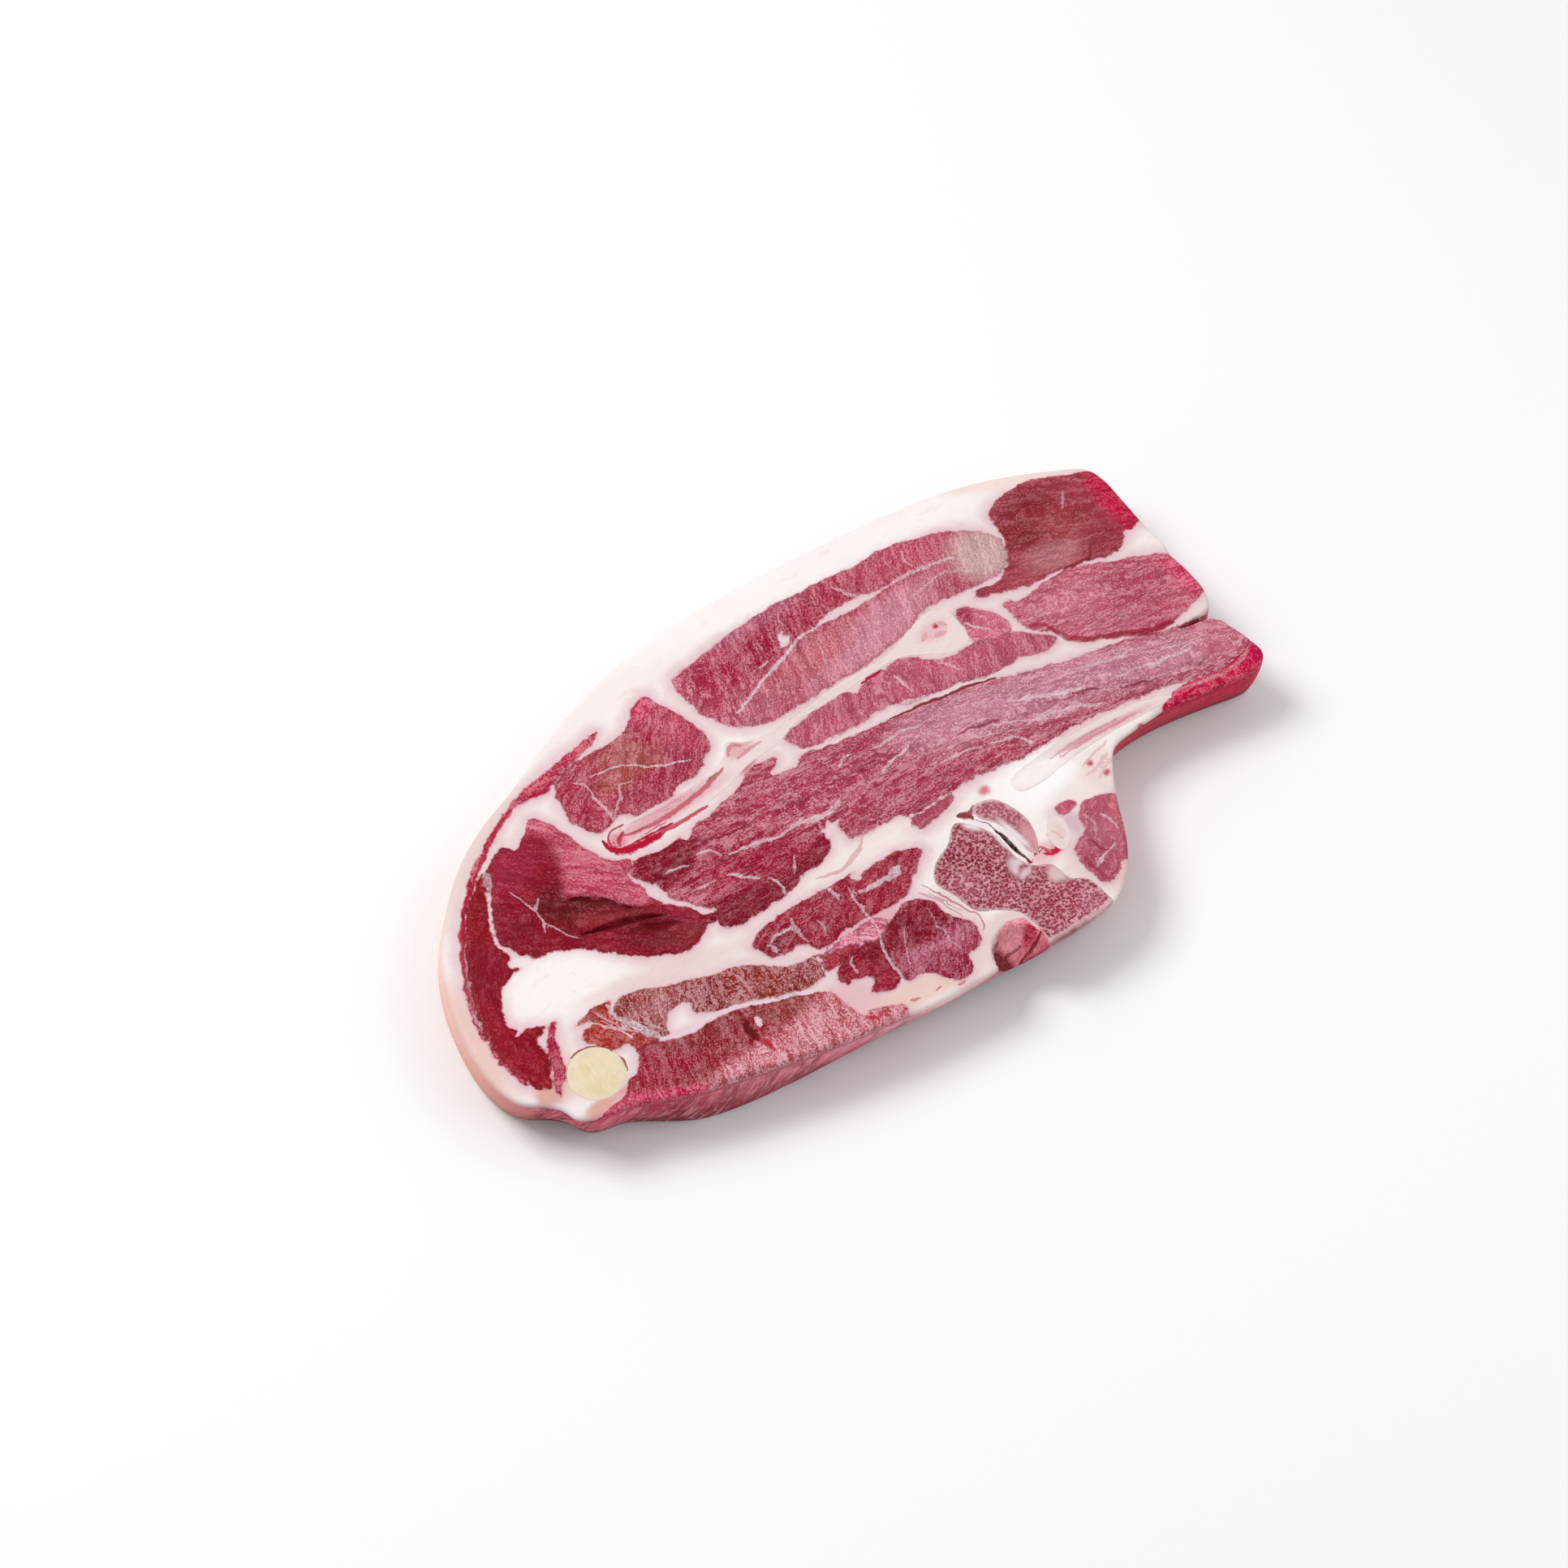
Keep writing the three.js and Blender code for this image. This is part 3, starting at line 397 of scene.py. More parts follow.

# Dark lines where muscles part: half-width in mm, strength, colour, path; a few are painted shade in folds,
# in gaps and beside the rib end, as marked
CREASES = [
    (0.5, 0.95, "garnet", [(21.6, 8.9), (25, 8.6), (29, 8.3), (36, 7.1), (44, 6), (48, 4.8)]),
    (0.6, 0.7, "crimson", [(62.5, 12.2), (64, 11.4), (65.5, 10.4), (67.8, 5.2), (70.4, 2.7), (78, -1)]),
    (0.9, 0.8, "crimson", [(75, 0.6), (80, -1.9), (85, -4), (91, -5)]),
    (0.35, 0.6, "maroon", [(-34, 7), (-31, 5.2), (-28, 4), (-20, 3)]),
    (0.4, 0.7, "maroon", [(32, -2.8), (37, -3.6), (42, -4.8)]),
    (0.4, 0.7, "maroon", [(60, -8.2), (63, -9.2), (66, -10.5)]),
    (0.35, 0.6, "maroon", [(70, -13), (74, -14.2), (79, -15.7)]),
    (0.2, 0.6, "crimson", [(53, -6.6), (59, -8.8), (64, -10.4)]),
    (0.18, 0.5, "ruby", [(76, -6.4), (83, -8.4), (90, -9.4)]),
    (0.2, 0.5, "crimson", [(45, -10), (52, -12.2), (58, -13.6)]),
    (0.18, 0.5, "crimson", [(62, -12), (68, -15.6), (75, -17)]),
    (0.6, 0.7, "blood", [(91, -7.2), (94, -7.5), (97, -8)]),
    (0.35, 0.5, "russet", [(0, 2), (8, 1.6), (15, 2.4)]),
    (0.4, 0.6, "garnet", [(78.5, 20.6), (81, 20.2), (84.5, 19.4)]),
    (0.3, 0.6, "wine", [(84.5, 19.5), (86, 21), (87, 22.8)]),
    # Dark lines along the breast's folds: painted shade under the overhanging muscle
    (0.5, 0.6, "wine", [(-60, 2.4), (-57, 0.6), (-53.6, -1), (-50, -2.4)]),
    (0.6, 0.7, "wine", [(-56, -5), (-52, -8), (-46, -9.5)]),
    (0.4, 0.5, "wine", [(-62, 6), (-58, 3.4), (-54.4, 1.4)]),
    (0.4, 0.5, "wine", [(-57, -8), (-52, -10.6), (-47, -12)]),
    (0.6, 0.75, "blood", [(-95.6, -4), (-93.6, 2.6), (-91, 8.6), (-87.8, 14.4), (-83, 20.4), (-78, 25)]),
    (0.5, 0.7, "blood", [(-78, 25), (-72.8, 29.2), (-67.4, 32.6), (-62.4, 35)]),
    (0.5, 0.8, "ruby", [(-6, 20.2), (-10, 17.6), (-16, 15.6)]),
    (1.1, 1.0, "blood", [(-49.4, 17.4), (-49.2, 15), (-47.8, 13.2), (-45, 12.3), (-41, 12), (-36, 12.1)]),
    (0.6, 0.9, "scarlet", [(-41, 12.1), (-36, 12), (-30, 12.1), (-25, 12.6)]),
    (0.9, 0.95, "wine", [(-47.4, -37.4), (-47.9, -40), (-47.2, -42.8)]),
    (0.6, 0.85, "blood", [(-47, -42.6), (-46.2, -44.4), (-45.7, -46.6)]),
    (0.5, 0.8, "scarlet", [(-24.4, -51), (-22.4, -52.4), (-20, -51.8)]),
    (0.35, 0.7, "hot_pink", [(-14.2, -52.4), (-12.4, -53)]),
    (0.35, 0.7, "hot_pink", [(-8.4, -53.8), (-6.8, -53.2)]),
    (0.35, 0.7, "hot_pink", [(-3.2, -54.8), (-1.2, -55)]),
    (0.6, 0.95, "blood", [(21.4, 19.9), (23, 20.3), (26.8, 20.4)]),
    # A pink line beside the rib end: painted shadow on the fat
    (0.3, 0.4, "blush", [(34.5, -34), (34.2, -36.4), (35.2, -38.7)]),
    (0.45, 0.5, "salmon", [(-15, -16.4), (-12, -17), (-8, -17.3), (-4, -15.4), (0, -13)]),
    (0.28, 0.5, "salmon", [(-9, -17.9), (-5, -17), (-2, -15)]),
    (0.25, 0.7, "plum", [(4, -30), (6, -35), (8, -39), (10, -44.5), (9, -47)]),
    (0.25, 0.5, "plum", [(2, -31.4), (5, -36), (7, -42)]),
    (0.8, 0.95, "garnet", [(20.4, -20.2), (22, -21.2), (23.4, -22.2)]),
    (0.4, 0.9, "crimson", [(22, -21.4), (23.4, -20.8), (24.8, -19.8)]),
    (0.14, 0.9, "maroon", [(22.8, -22.6), (24.2, -24.6), (25.1, -26.6), (25.5, -28.6)]),
    # The joint's gap: a black-red line painted as the shade in it
    (0.42, 1.0, "black_red", [(25.3, -27.4), (25.8, -30), (26.2, -33), (26.8, -37.2)]),
    (0.4, 1.0, "crimson", [(26.6, -36.6), (27.2, -38.4), (27.6, -39)]),
    (0.95, 1.0, "scarlet", [(31, -38.5), (33.2, -39.3), (36.4, -38.6)]),
    (0.3, 0.8, "scarlet", [(33, -39), (32, -37.4), (31.6, -36.4)]),
    (0.5, 0.9, "blood", [(28.8, -38), (30, -37), (31.2, -36.4)]),
    (0.4, 0.4, "pink", [(51, -24.6), (55, -23.6), (60, -22.4)]),
    (0.5, 0.45, "shell", [(50, -27.4), (54, -26.6), (58, -25)]),
    (0.4, 0.4, "shell", [(52, -29.6), (55, -28), (58, -26.6)]),
    (0.3, 0.7, "garnet", [(41.2, -41), (42, -43.4), (43.4, -45.6)]),
    (0.6, 0.6, "ruby", [(37.8, -44), (38.6, -48), (39.2, -51.6)]),
    (0.4, 0.8, "garnet", [(16, -43.2), (17, -44)]),
    # The canal's cavity: a dark wine line painted as the shade in it
    (0.4, 0.8, "wine", [(12, -56), (15.4, -54.8), (17.4, -54.6), (19.2, -53.8)]),
    (0.3, 0.6, "russet", [(7.6, -52.4), (9, -50.8), (11, -50)]),
    (0.35, 0.7, "wine", [(10.6, -53), (13, -52.6), (15.6, -52.8)]),
    (0.36, 0.9, "brick", [(-83.6, -24), (-81, -23.8), (-78.4, -24.5), (-76.2, -26.3), (-74.9, -28.8),
        (-74.4, -31), (-74.8, -33.2)]),
]

# Lines on the sawn bones, drawn as the creases are
BONE_LINES = [
    (0.45, 0.9, "blood", [(-47.4, 13.6), (-48.6, 15), (-48.6, 17), (-46.6, 18.5), (-43.4, 18.5)]),
    (0.6, 0.9, "blood", [(-46.8, 14.6), (-46.2, 16), (-45, 16.6), (-44.4, 17)]),
    (0.35, 0.85, "cherry", [(-45.4, 16.6), (-44.4, 15.8), (-42, 15.4), (-39, 15.2)]),
    (0.7, 0.85, "coral", [(-42, 15.2), (-36, 14.9), (-30, 15.3), (-24, 16.4), (-20, 17.5), (-17, 18.6)]),
    (0.3, 0.5, "mauve", [(-42, 17.6), (-34, 17.2), (-28, 17.4)]),
    (0.7, 1.0, "blood", [(-48.6, 13.4), (-44, 12.8), (-39, 12.7), (-34, 12.7)]),
    (0.3, 0.8, "russet", [(-22, 17.6), (-19.6, 18.2), (-17.4, 18)]),
    (0.6, 0.6, "coral", [(-14.6, 20.6), (-12.4, 22.6), (-10.4, 21.4)]),
    (0.5, 0.5, "coral", [(-13, 18.8), (-9, 19.6), (-6, 19.8)]),
    (0.7, 0.6, "shell", [(39.4, 22.2), (41.4, 23.4)]),
    (0.8, 0.6, "shell", [(42.6, 21.6), (45.6, 21.4)]),
    (0.6, 0.6, "shell", [(45.4, 24.4), (46.8, 22.6)]),
    (0.25, 0.6, "peach", [(35.6, -34.4), (36.5, -36), (37, -38)]),
    (0.22, 0.5, "rosy_fat", [(37.6, -34.2), (38.1, -36), (38, -37.6)]),
    (0.3, 0.6, "mauve", [(46, -19.2), (56, -18.6), (66, -18.8)]),
    (0.35, 0.6, "pink", [(48, -20.2), (58, -19.8), (70, -20)]),
]

# Places with their own colour, in the lean and in the fat: centre, radii, turn, colour, strength
TINTS = {
    "lean": [
        ((8, 40), (16, 4.4), 10, "ruby", 0.85), ((28, 43), (14, 4), 0, "cherry", 0.7),
        ((50, 43), (12, 4), -8, "coral", 0.8), ((10, 47), (18, 1.6), 4, "rose", 0.7),
        ((18, 32), (20, 4.4), 8, "salmon", 0.7), ((30, 27.6), (20, 3.4), 8, "pale_mauve", 0.8),
        ((-2, 27), (8, 4), 10, "dusty_rose", 0.7), ((51, 22), (1.8, 3.4), 0, "ruby", 0.8),
        ((38, 33), (14, 4), 8, "pale_mauve", 0.8), ((65, 34), (9, 8), -30, "ash", 0.95),
        ((-6, 40), (7, 5), 30, "cherry", 0.7), ((-34, 32), (8, 7), 0, "terracotta", 0.7),
        ((-40, 28.6), (5, 3), 0, "terracotta", 0.5), ((-21, 36), (5, 10), 15, "coral", 0.8),
        ((-25, 41.6), (5, 2.6), 45, "hot_pink", 0.8), ((-50, 29), (3, 8), 0, "cherry", 0.6),
        ((-29, 23.6), (10, 3.4), 4, "ruby", 0.8), ((-27, 36.4), (3, 4), 0, "cherry", 0.6),
        ((75, 35), (6, 6), 0, "russet", 0.9), ((82, 40), (7, 4), -20, "russet", 0.8),
        ((78, 25), (8, 4), -8, "dusk", 0.85), ((99, 31), (4, 12), 0, "scarlet", 0.9),
        ((84, 31), (9, 5), 0, "brick", 0.4), ((66, 15), (6, 6), 0, "dusty_rose", 0.6),
        ((76, 12), (8, 6), 0, "pink", 0.75), ((90, 8), (8, 6), 0, "plum", 0.6),
        ((101, 5), (4, 8), 0, "hot_pink", 0.9), ((80, 2), (8, 4), -20, "rose", 0.6),
        ((-30, -4), (12, 7), 0, "ruby", 0.7), ((-14, -9), (8, 6), 0, "cherry", 0.6),
        ((2, 3), (16, 10), 0, "plum", 0.6), ((18, -10), (12, 5), 0, "plum", 0.5),
        ((32, 1), (16, 8), -8, "mauve", 0.8), ((56, -4), (22, 9), -12, "mauve", 0.85),
        ((82, -11), (18, 7), -14, "mauve", 0.8), ((97, -14), (7, 7), 0, "pink", 0.8),
        ((-77, 9), (5, 6), 0, "garnet", 0.8), ((-70, 22), (9, 5), 20, "ruby", 0.8),
        # Darker spots along the breast's folds: partly the muscle's own darker red, partly painted shade
        # below the folds
        ((-66, 8), (5, 6), -20, "wine", 0.85), ((-62, 4), (7, 3), -30, "russet", 0.7),
        ((-52, -8), (9, 5), -30, "maroon", 0.8), ((-56, -2), (9, 2.4), -22, "russet", 0.7),
        ((-46, -12), (7, 3), -10, "russet", 0.8), ((-44, -8), (4, 3), -40, "ruby", 0.6),
        ((-88, 3), (6, 8), -25, "garnet", 0.7), ((-92, -14), (3, 12), 0, "crimson", 0.5),
        ((-70, -33.6), (4, 3), 0, "ruby", 0.8), ((-67, -38), (8, 3), -10, "crimson", 0.9),
        ((-52, -36), (12, 3), -5, "russet", 0.7), ((-38, -40), (8, 2.6), -12, "brick", 0.7),
        ((-60, -24), (6, 3), -15, "dusk", 0.7), ((-50, -28), (12, 4), -15, "russet", 0.7),
        ((-38, -31), (10, 4), -25, "brick", 0.7), ((-29, -34), (5, 3), 0, "russet", 0.7),
        ((-64, -20), (6, 2.2), -5, "brick", 0.8), ((-76, -19), (4, 2), 10, "terracotta", 0.8),
        ((-30, -25), (5, 3), 0, "garnet", 0.85), ((-4, -28), (8, 3), 5, "crimson", 0.6),
        ((-14, -40), (4, 5), 0, "garnet", 0.8), ((-16, -46), (4, 1.8), 0, "crimson", 0.8),
        ((-6, -38), (5, 6), 20, "maroon", 0.95), ((1, -38), (4, 4), 0, "garnet", 0.9),
        ((3, -45), (4, 4), 0, "rose", 0.7), ((-6, -45), (5, 3), 0, "rose", 0.6),
        ((45, -41), (5, 5), 0, "dusty_rose", 0.6), ((52, -38), (3, 6), -30, "salmon", 0.7),
        ((88, -25), (16, 3), -4, "scarlet", 0.8), ((68, -24.6), (8, 2), 0, "brick", 0.9),
        # A pink brighter than the tissue in the canal's hollow: painted light against its shade
        ((8.6, -54), (3.4, 3), 0, "garnet", 1), ((13.6, -50.6), (4, 2.6), 5, "shade_lifting_pink", 1),
        ((14, -57), (4, 1.4), 0, "garnet", 0.9), ((17.4, -52.6), (1.6, 1.8), 0, "scarlet", 0.9),
    ],
    "fat": [
        ((-76, -8), (14, 9), -30, "white", 0.9), ((20, 53), (70, 5), -3, "white", 0.9),
        ((80, 49), (24, 3), -25, "cream", 0.8), ((-76, 30), (22, 5), 38, "skin", 0.8),
        ((-100, -8), (4, 24), -4, "warm_fat", 0.9), ((-85, -28), (6, 6), 0, "warm_fat", 0.8),
        ((-84, -37.8), (5, 2.2), 10, "peach", 0.9), ((-77, -37.4), (3, 1.4), -10, "shell", 0.8),
        ((-92, -29), (3, 3), 0, "peach", 0.9), ((-55, -18), (22, 3), -10, "skin", 0.8),
        ((0, -16), (20, 3), 0, "fat", 0.7), ((41, -22), (12, 8), 0, "pure", 0.95),
        ((47, -30), (8, 4), 0, "fat", 0.9), ((-26, -46), (8, 6), -5, "rosy_fat", 0.9),
        ((-56, -46), (12, 4), -10, "peach", 0.8), ((-12, -33), (9, 3), 0, "blush", 0.7),
        ((-12, -52), (14, 3), -5, "warm_fat", 0.8), ((3, -50), (4, 6), 0, "skin", 0.8),
        ((7, -38), (3, 8), -15, "skin", 0.8), ((40.8, -35.6), (2.2, 3.2), -10, "lilac", 0.9),
        ((44, -52), (3.4, 3), 0, "warm_fat", 0.9), ((32, -38.6), (5, 3), 0, "blush", 0.7),
        ((54, -27), (5, 5), 0, "skin", 0.6), ((29, -18), (1.6, 1.2), 0, "hot_pink", 0.8),
        ((53, -24.9), (0.9, 0.7), 0, "scarlet", 0.9), ((55, -29.2), (1, 0.8), 0, "scarlet", 0.9),
        ((68.5, -23), (0.9, 0.6), 0, "scarlet", 0.9), ((34, -46), (3, 4), 0, "skin", 0.7),
        ((13, -47.4), (5, 2.4), 5, "skin", 0.9), ((-12, 16), (3, 1), 20, "coral", 0.7),
        ((27.4, -31), (1.2, 5), 10, "milk", 0.9), ((23.6, -24.2), (2.6, 1.4), -55, "milk", 0.9),
        ((52, 8), (4, 2), 0, "bone", 0.6),
    ],
}

# Places on the bones: the bone's kind and, where it is one, marrow or gristle, then as above; the dark band
# along the vertebra's foot is painted shade, laid as gristle so that it stays smooth
BONE_TINTS = [
    ("bone marrow", (-34, 16), (16, 2.4), 2, "blush", 0.85),
    ("bone marrow", (-11, 21), (4, 2), 20, "shell", 0.6),
    ("bone marrow", (-46.8, 15.4), (2, 2.4), 0, "shell", 0.9),
    ("bone", (43, 23), (4.4, 2.4), 10, "rosy_fat", 0.8),
    ("bone marrow", (44.3, 23.7), (0.8, 0.7), 0, "blood", 0.95),
    ("bone", (15, 21.6), (18, 0.8), 4, "skin", 0.5),
    ("bone marrow", (60, -19.4), (14, 1.1), -3, "blush", 0.9),
    ("bone", (42, -20.6), (9, 3), 0, "white", 0.9), ("bone", (36.9, -35.8), (2.8, 1.2), 70, "skin", 0.7),
    ("spongy gristle", (23.4, -37.4), (1.3, 2.6), -14, "bone", 0.9),
    ("spongy gristle", (24.8, -40.2), (2.2, 0.9), 20, "bone", 0.8),
    ("spongy gristle", (25.2, -37), (1.2, 1.2), 0, "milk", 0.8),
    ("spongy", (15, -29), (6, 4), -30, "garnet", 0.75), ("spongy", (20, -34), (4, 5), 0, "garnet", 0.7),
    ("spongy", (12, -36), (3, 4), 0, "plum", 0.6), ("spongy", (27, -50), (6, 7), 0, "ruby", 0.6),
    ("spongy", (33, -54), (3, 4), 0, "rose", 0.7),
    ("spongy gristle", (21.6, -24), (2.4, 1.2), -50, "milk", 0.95),
    ("spongy gristle", (25, -30), (0.9, 6), 6, "milk", 0.95),
    ("spongy gristle", (30.6, -44), (2.4, 2.6), 0, "skin", 0.85),
    ("spongy", (30, -40.6), (2, 1.4), 0, "hot_pink", 0.7),
    ("spongy", (29.6, -25), (2.4, 4.6), 20, "rose", 0.5),
    ("spongy gristle", (28.4, -31), (1, 6), 10, "milk", 0.95),
    ("spongy gristle", (31, -33), (1.6, 4), 0, "blush", 0.8),
    # A dark band along the vertebra's lower edge: painted shade, laid as gristle so that it stays smooth
    ("spongy gristle", (24, -58.9), (12, 1.7), 0, "wine", 0.9),
]

# Parts of a muscle that have their own colour up to a border: colour, fleck, softness in mm, outline
PATCHES = [
    ("maroon", 0.15, 0.8, [(5.2, -53), (7, -51.6), (9.4, -51.8), (11.4, -54), (11, -57), (7, -58),
        (5, -56)]),
    ("garnet", 0.3, 1.6, [(-46, 11), (-38, 11), (-33, 8), (-34, 3), (-40, -1), (-48, 2)]),
    ("garnet", 0.3, 1.6, [(-40, -9), (-30, -10), (-16, -10), (-8, -8), (-6, -14), (-30, -18), (-42, -17)]),
    ("ruby", 0.4, 2.4, [(-37, -3), (-31, 0.6), (-24, -0.6), (-16, -2), (-12, -6), (-16, -10), (-30, -10)]),
    ("garnet", 0.32, 1.6, [(-11, -41), (-10, -35.4), (-5, -33.4), (2, -33.6), (4.4, -37), (3, -42),
        (-4, -42.4)]),
    ("salmon", 0.9, 2.4, [(-66, -47), (-58, -44.5), (-50, -43.6), (-42, -43.4), (-34, -42.4), (-28, -41),
        (-20, -48), (-12, -54), (-30, -60), (-60, -56)]),
    ("hot_pink", 0.5, 1.2, [(-92, -40), (-86, -38.6), (-79, -38.2), (-74, -40), (-68, -43), (-63, -45.6),
        (-63, -52), (-92, -48)]),
    ("coral", 0.5, 1.5, [(-65, 28.6), (-60.5, 31.6), (-57, 27.6), (-54, 20), (-51, 13), (-46.4, 9.8),
        (-49.4, 7), (-48, 2), (-48, -1), (-51, -0.8), (-54, 0.6), (-57.6, 4.6), (-61, 7), (-64, 9.4),
        (-62.6, 12.6), (-60.8, 17), (-60.2, 24), (-62, 26.6)]),
    # A dark wine patch below the breast's upper fold: partly the muscle's own dark red, partly painted shade
    # under the fold
    ("wine", 0.15, 1.2, [(-69, 12), (-66.4, 13), (-64.4, 9.6), (-60, 6.2), (-57, 3.4), (-60, 3), (-64, 4.6),
        (-67, 5), (-69.6, 7)]),
]

# Folds and gaps that go down into the face: path, width, depth, colour of the bottom, which is painted shade
FURROWS = [
    ([(-65, 8.8), (-61.6, 7.4), (-57, 3.8), (-52.6, -1.4)], 1.7, 1.3, "wine"),
    ([(-66, -0.2), (-59, -2), (-53.6, -3.5), (-47.6, -6)], 1.9, 1.6, "wine"),
    ([(-54, -5.4), (-50.6, -7.4), (-46, -9.4)], 1.6, 0.8, "wine"),
    ([(25.4, -27.6), (26, -31), (26.5, -35), (27.2, -37.8)], 0.9, 1.7, "black_red"),
]

# The hollow of the spinal cord's canal, a part of an ellipsoid
CANAL = {"centre": (12.6, -56.2), "height": THICKNESS + 1.6, "radii": (6.4, 7.6, 8.6)}

# What the wall shows: a place on the edge, the colour near the face and the colour at the foot; the darker
# colours at the foot are partly the wall's own colour and partly painted shade
WALL_COLOURS = [
    ((101, 30), "coral", "garnet"), ((98.6, 41.2), "rosy_fat", "blush"), ((66, 53.8), "cream", "warm_fat"),
    ((0, 57.3), "white", "cream"), ((-46, 46.4), "cream", "warm_fat"), ((-88.4, 20), "warm_fat", "peach"),
    ((-100.4, -12), "peach", "apricot"), ((-94.8, -30.2), "coral", "wine"),
    ((-82, -40.4), "coral", "russet"), ((-72, -43.3), "cherry", "wine"), ((-50, -49.2), "salmon", "garnet"),
    ((-28, -53.6), "pink", "ruby"), ((-5, -56.2), "rosy_fat", "wine"), ((14, -57.5), "ruby", "black_red"),
    ((40, -54.6), "warm_fat", "russet"), ((49.8, -43), "coral", "crimson"),
    ((55, -32), "rosy_fat", "salmon"), ((60.4, -24.4), "cherry", "garnet"), ((98, -25), "blood", "garnet"),
    ((101.2, -13), "coral", "crimson"), ((95, -7.4), "wine", "black_red"),
    ((101.9, 0), "hot_pink", "crimson"), ((101.9, 14), "rosy_fat", "blush"),
]

# A pale line on the wall, drawn as it is seen from the front above
WALL_SEAMS = [
    (0.4, 0.3, "bone", [(86, -22), (91, -21.9), (96, -21.8), (100, -20), (102, -18.5)]),
]


def to_linear(code):
    """A named colour, or a colour written as the photo shows it, in linear light."""
    code = COLOURS.get(code, code)
    value = np.array([int(code[i:i + 2], 16) for i in (0, 2, 4)]) / 255
    return np.where(value <= 0.04045, value / 12.92, ((value + 0.055) / 1.055) ** 2.4)


def pigment(code):
    """The surface colour that looks like a colour of the photo under this scene's lights."""
    return np.maximum((to_linear(code) - SURFACE_VEIL) / LIGHT_GAIN, 0.0015)


def place(points):
    """Drawn places in the slice's own frame."""
    return (np.asarray(points, float) - DRAWN_MIDDLE) * np.array([LENGTH, WIDTH]) / DRAWN_SIZE


def smooth(low, high, value):
    """A soft step from 0 at low to 1 at high."""
    share = np.clip((value - low) / (high - low), 0, 1)
    return share * share * (3 - 2 * share)


def curve_at(points, times, closed):
    """Points of a centripetal Catmull-Rom curve at times counted in drawn points."""
    points = np.asarray(points, float)
    if closed:
        padded = np.vstack([points[-1:], points, points[:2]])
        last = len(points)
    else:
        padded = np.vstack([2 * points[0] - points[1], points, 2 * points[-1] - points[-2]])
        last = len(points) - 1
    times = np.asarray(times, float)
    index = np.clip(np.floor(times).astype(int), 0, last - 1)
    share = (times - index)[:, None]
    before, start, end, after = (padded[index + k] for k in range(4))
    gaps = [np.sqrt(np.linalg.norm(b - a, axis=1))[:, None] + 1e-9
            for a, b in ((before, start), (start, end), (end, after))]
    slope = (end - start) / gaps[1]
    leave = ((start - before) / gaps[0] - (end - before) / (gaps[0] + gaps[1]) + slope) * gaps[1]
    arrive = (slope - (after - start) / (gaps[1] + gaps[2]) + (after - end) / gaps[2]) * gaps[1]
    cubic = 2 * start - 2 * end + leave + arrive
    square = -3 * start + 3 * end - 2 * leave - arrive
    return start + share * (leave + share * (square + share * cubic))


def even(points, count):
    """A path's points and any columns beside them, resampled to a count of even steps."""
    steps = np.linalg.norm(np.diff(points[:, :2], axis=0), axis=1)
    along = np.concatenate([[0], np.cumsum(steps)])
    wanted = np.linspace(0, along[-1], count)
    return np.column_stack([np.interp(wanted, along, column) for column in points.T])


def path_length(points):
    return np.linalg.norm(np.diff(points[:, :2], axis=0), axis=1).sum()


def smooth_path(drawn, step):
    """Even points on a smooth open curve."""
    points = place(drawn)
    dense = curve_at(points, np.linspace(0, len(points) - 1, 12 * len(points)), closed=False)
    return even(dense, max(3, int(path_length(dense) / step) + 1))


def smooth_loop(drawn, step):
    """Even points on a smooth closed curve; the last isn't the first again."""
    points = place(drawn)
    dense = curve_at(points, np.linspace(0, len(points), 16 * len(points)), closed=True)
    return even(dense, max(8, int(path_length(dense) / step)))[:-1]


def ellipse_loop(oval, step):
    (x, y), (a, b) = place(oval["centre"]), oval["radii"]
    angles = np.linspace(0, 2 * math.pi, max(12, int(math.pi * (a + b) / step)), endpoint=False)
    turn = math.radians(oval["turn"])
    u, v = a * np.cos(angles), b * np.sin(angles)
    return np.column_stack([x + u * math.cos(turn) - v * math.sin(turn),
                            y + u * math.sin(turn) + v * math.cos(turn)])


def raised(points, z):
    """Plan points at a height, or each at its own."""
    return np.column_stack([points, np.broadcast_to(z, (len(points),))])


def anticlockwise(loop):
    after = np.roll(loop, -1, axis=0)
    area = (loop[:, 0] * after[:, 1] - after[:, 0] * loop[:, 1]).sum()
    return loop if area > 0 else loop[::-1]


def outward(loop):
    """Unit normals of an anticlockwise loop, pointing out of it."""
    along = np.roll(loop, -1, axis=0) - np.roll(loop, 1, axis=0)
    along /= np.linalg.norm(along, axis=1)[:, None] + 1e-12
    return np.column_stack([along[:, 1], -along[:, 0]])


def grow(loop, distance):
    """An anticlockwise loop moved outwards by a distance, or by one for each point."""
    return loop + outward(loop) * np.reshape(distance, (-1, 1))


def loop_of(outline, step):
    """An anticlockwise loop from drawn points or from an oval."""
    loop = ellipse_loop(outline, step) if isinstance(outline, dict) else smooth_loop(outline, step)
    return anticlockwise(loop)


def eased(loop, reach):
    """A loop with bends sharper than a reach, counted in points, drawn out smooth."""
    turns = np.fft.fftfreq(len(loop))[:, None]
    soft = np.exp(-2 * (math.pi * reach * turns) ** 2)
    return np.fft.ifft(np.fft.fft(loop, axis=0) * soft, axis=0).real


def contains(loop, points):
    """Which points lie inside a closed loop."""
    inside = np.zeros(len(points), bool)
    x, y = points[:, 0], points[:, 1]
    for (ax, ay), (bx, by) in zip(loop, np.roll(loop, -1, axis=0)):
        if ay != by:
            crosses = (ay > y) != (by > y)
            inside ^= crosses & (x < (bx - ax) * (y - ay) / (by - ay) + ax)
    return inside


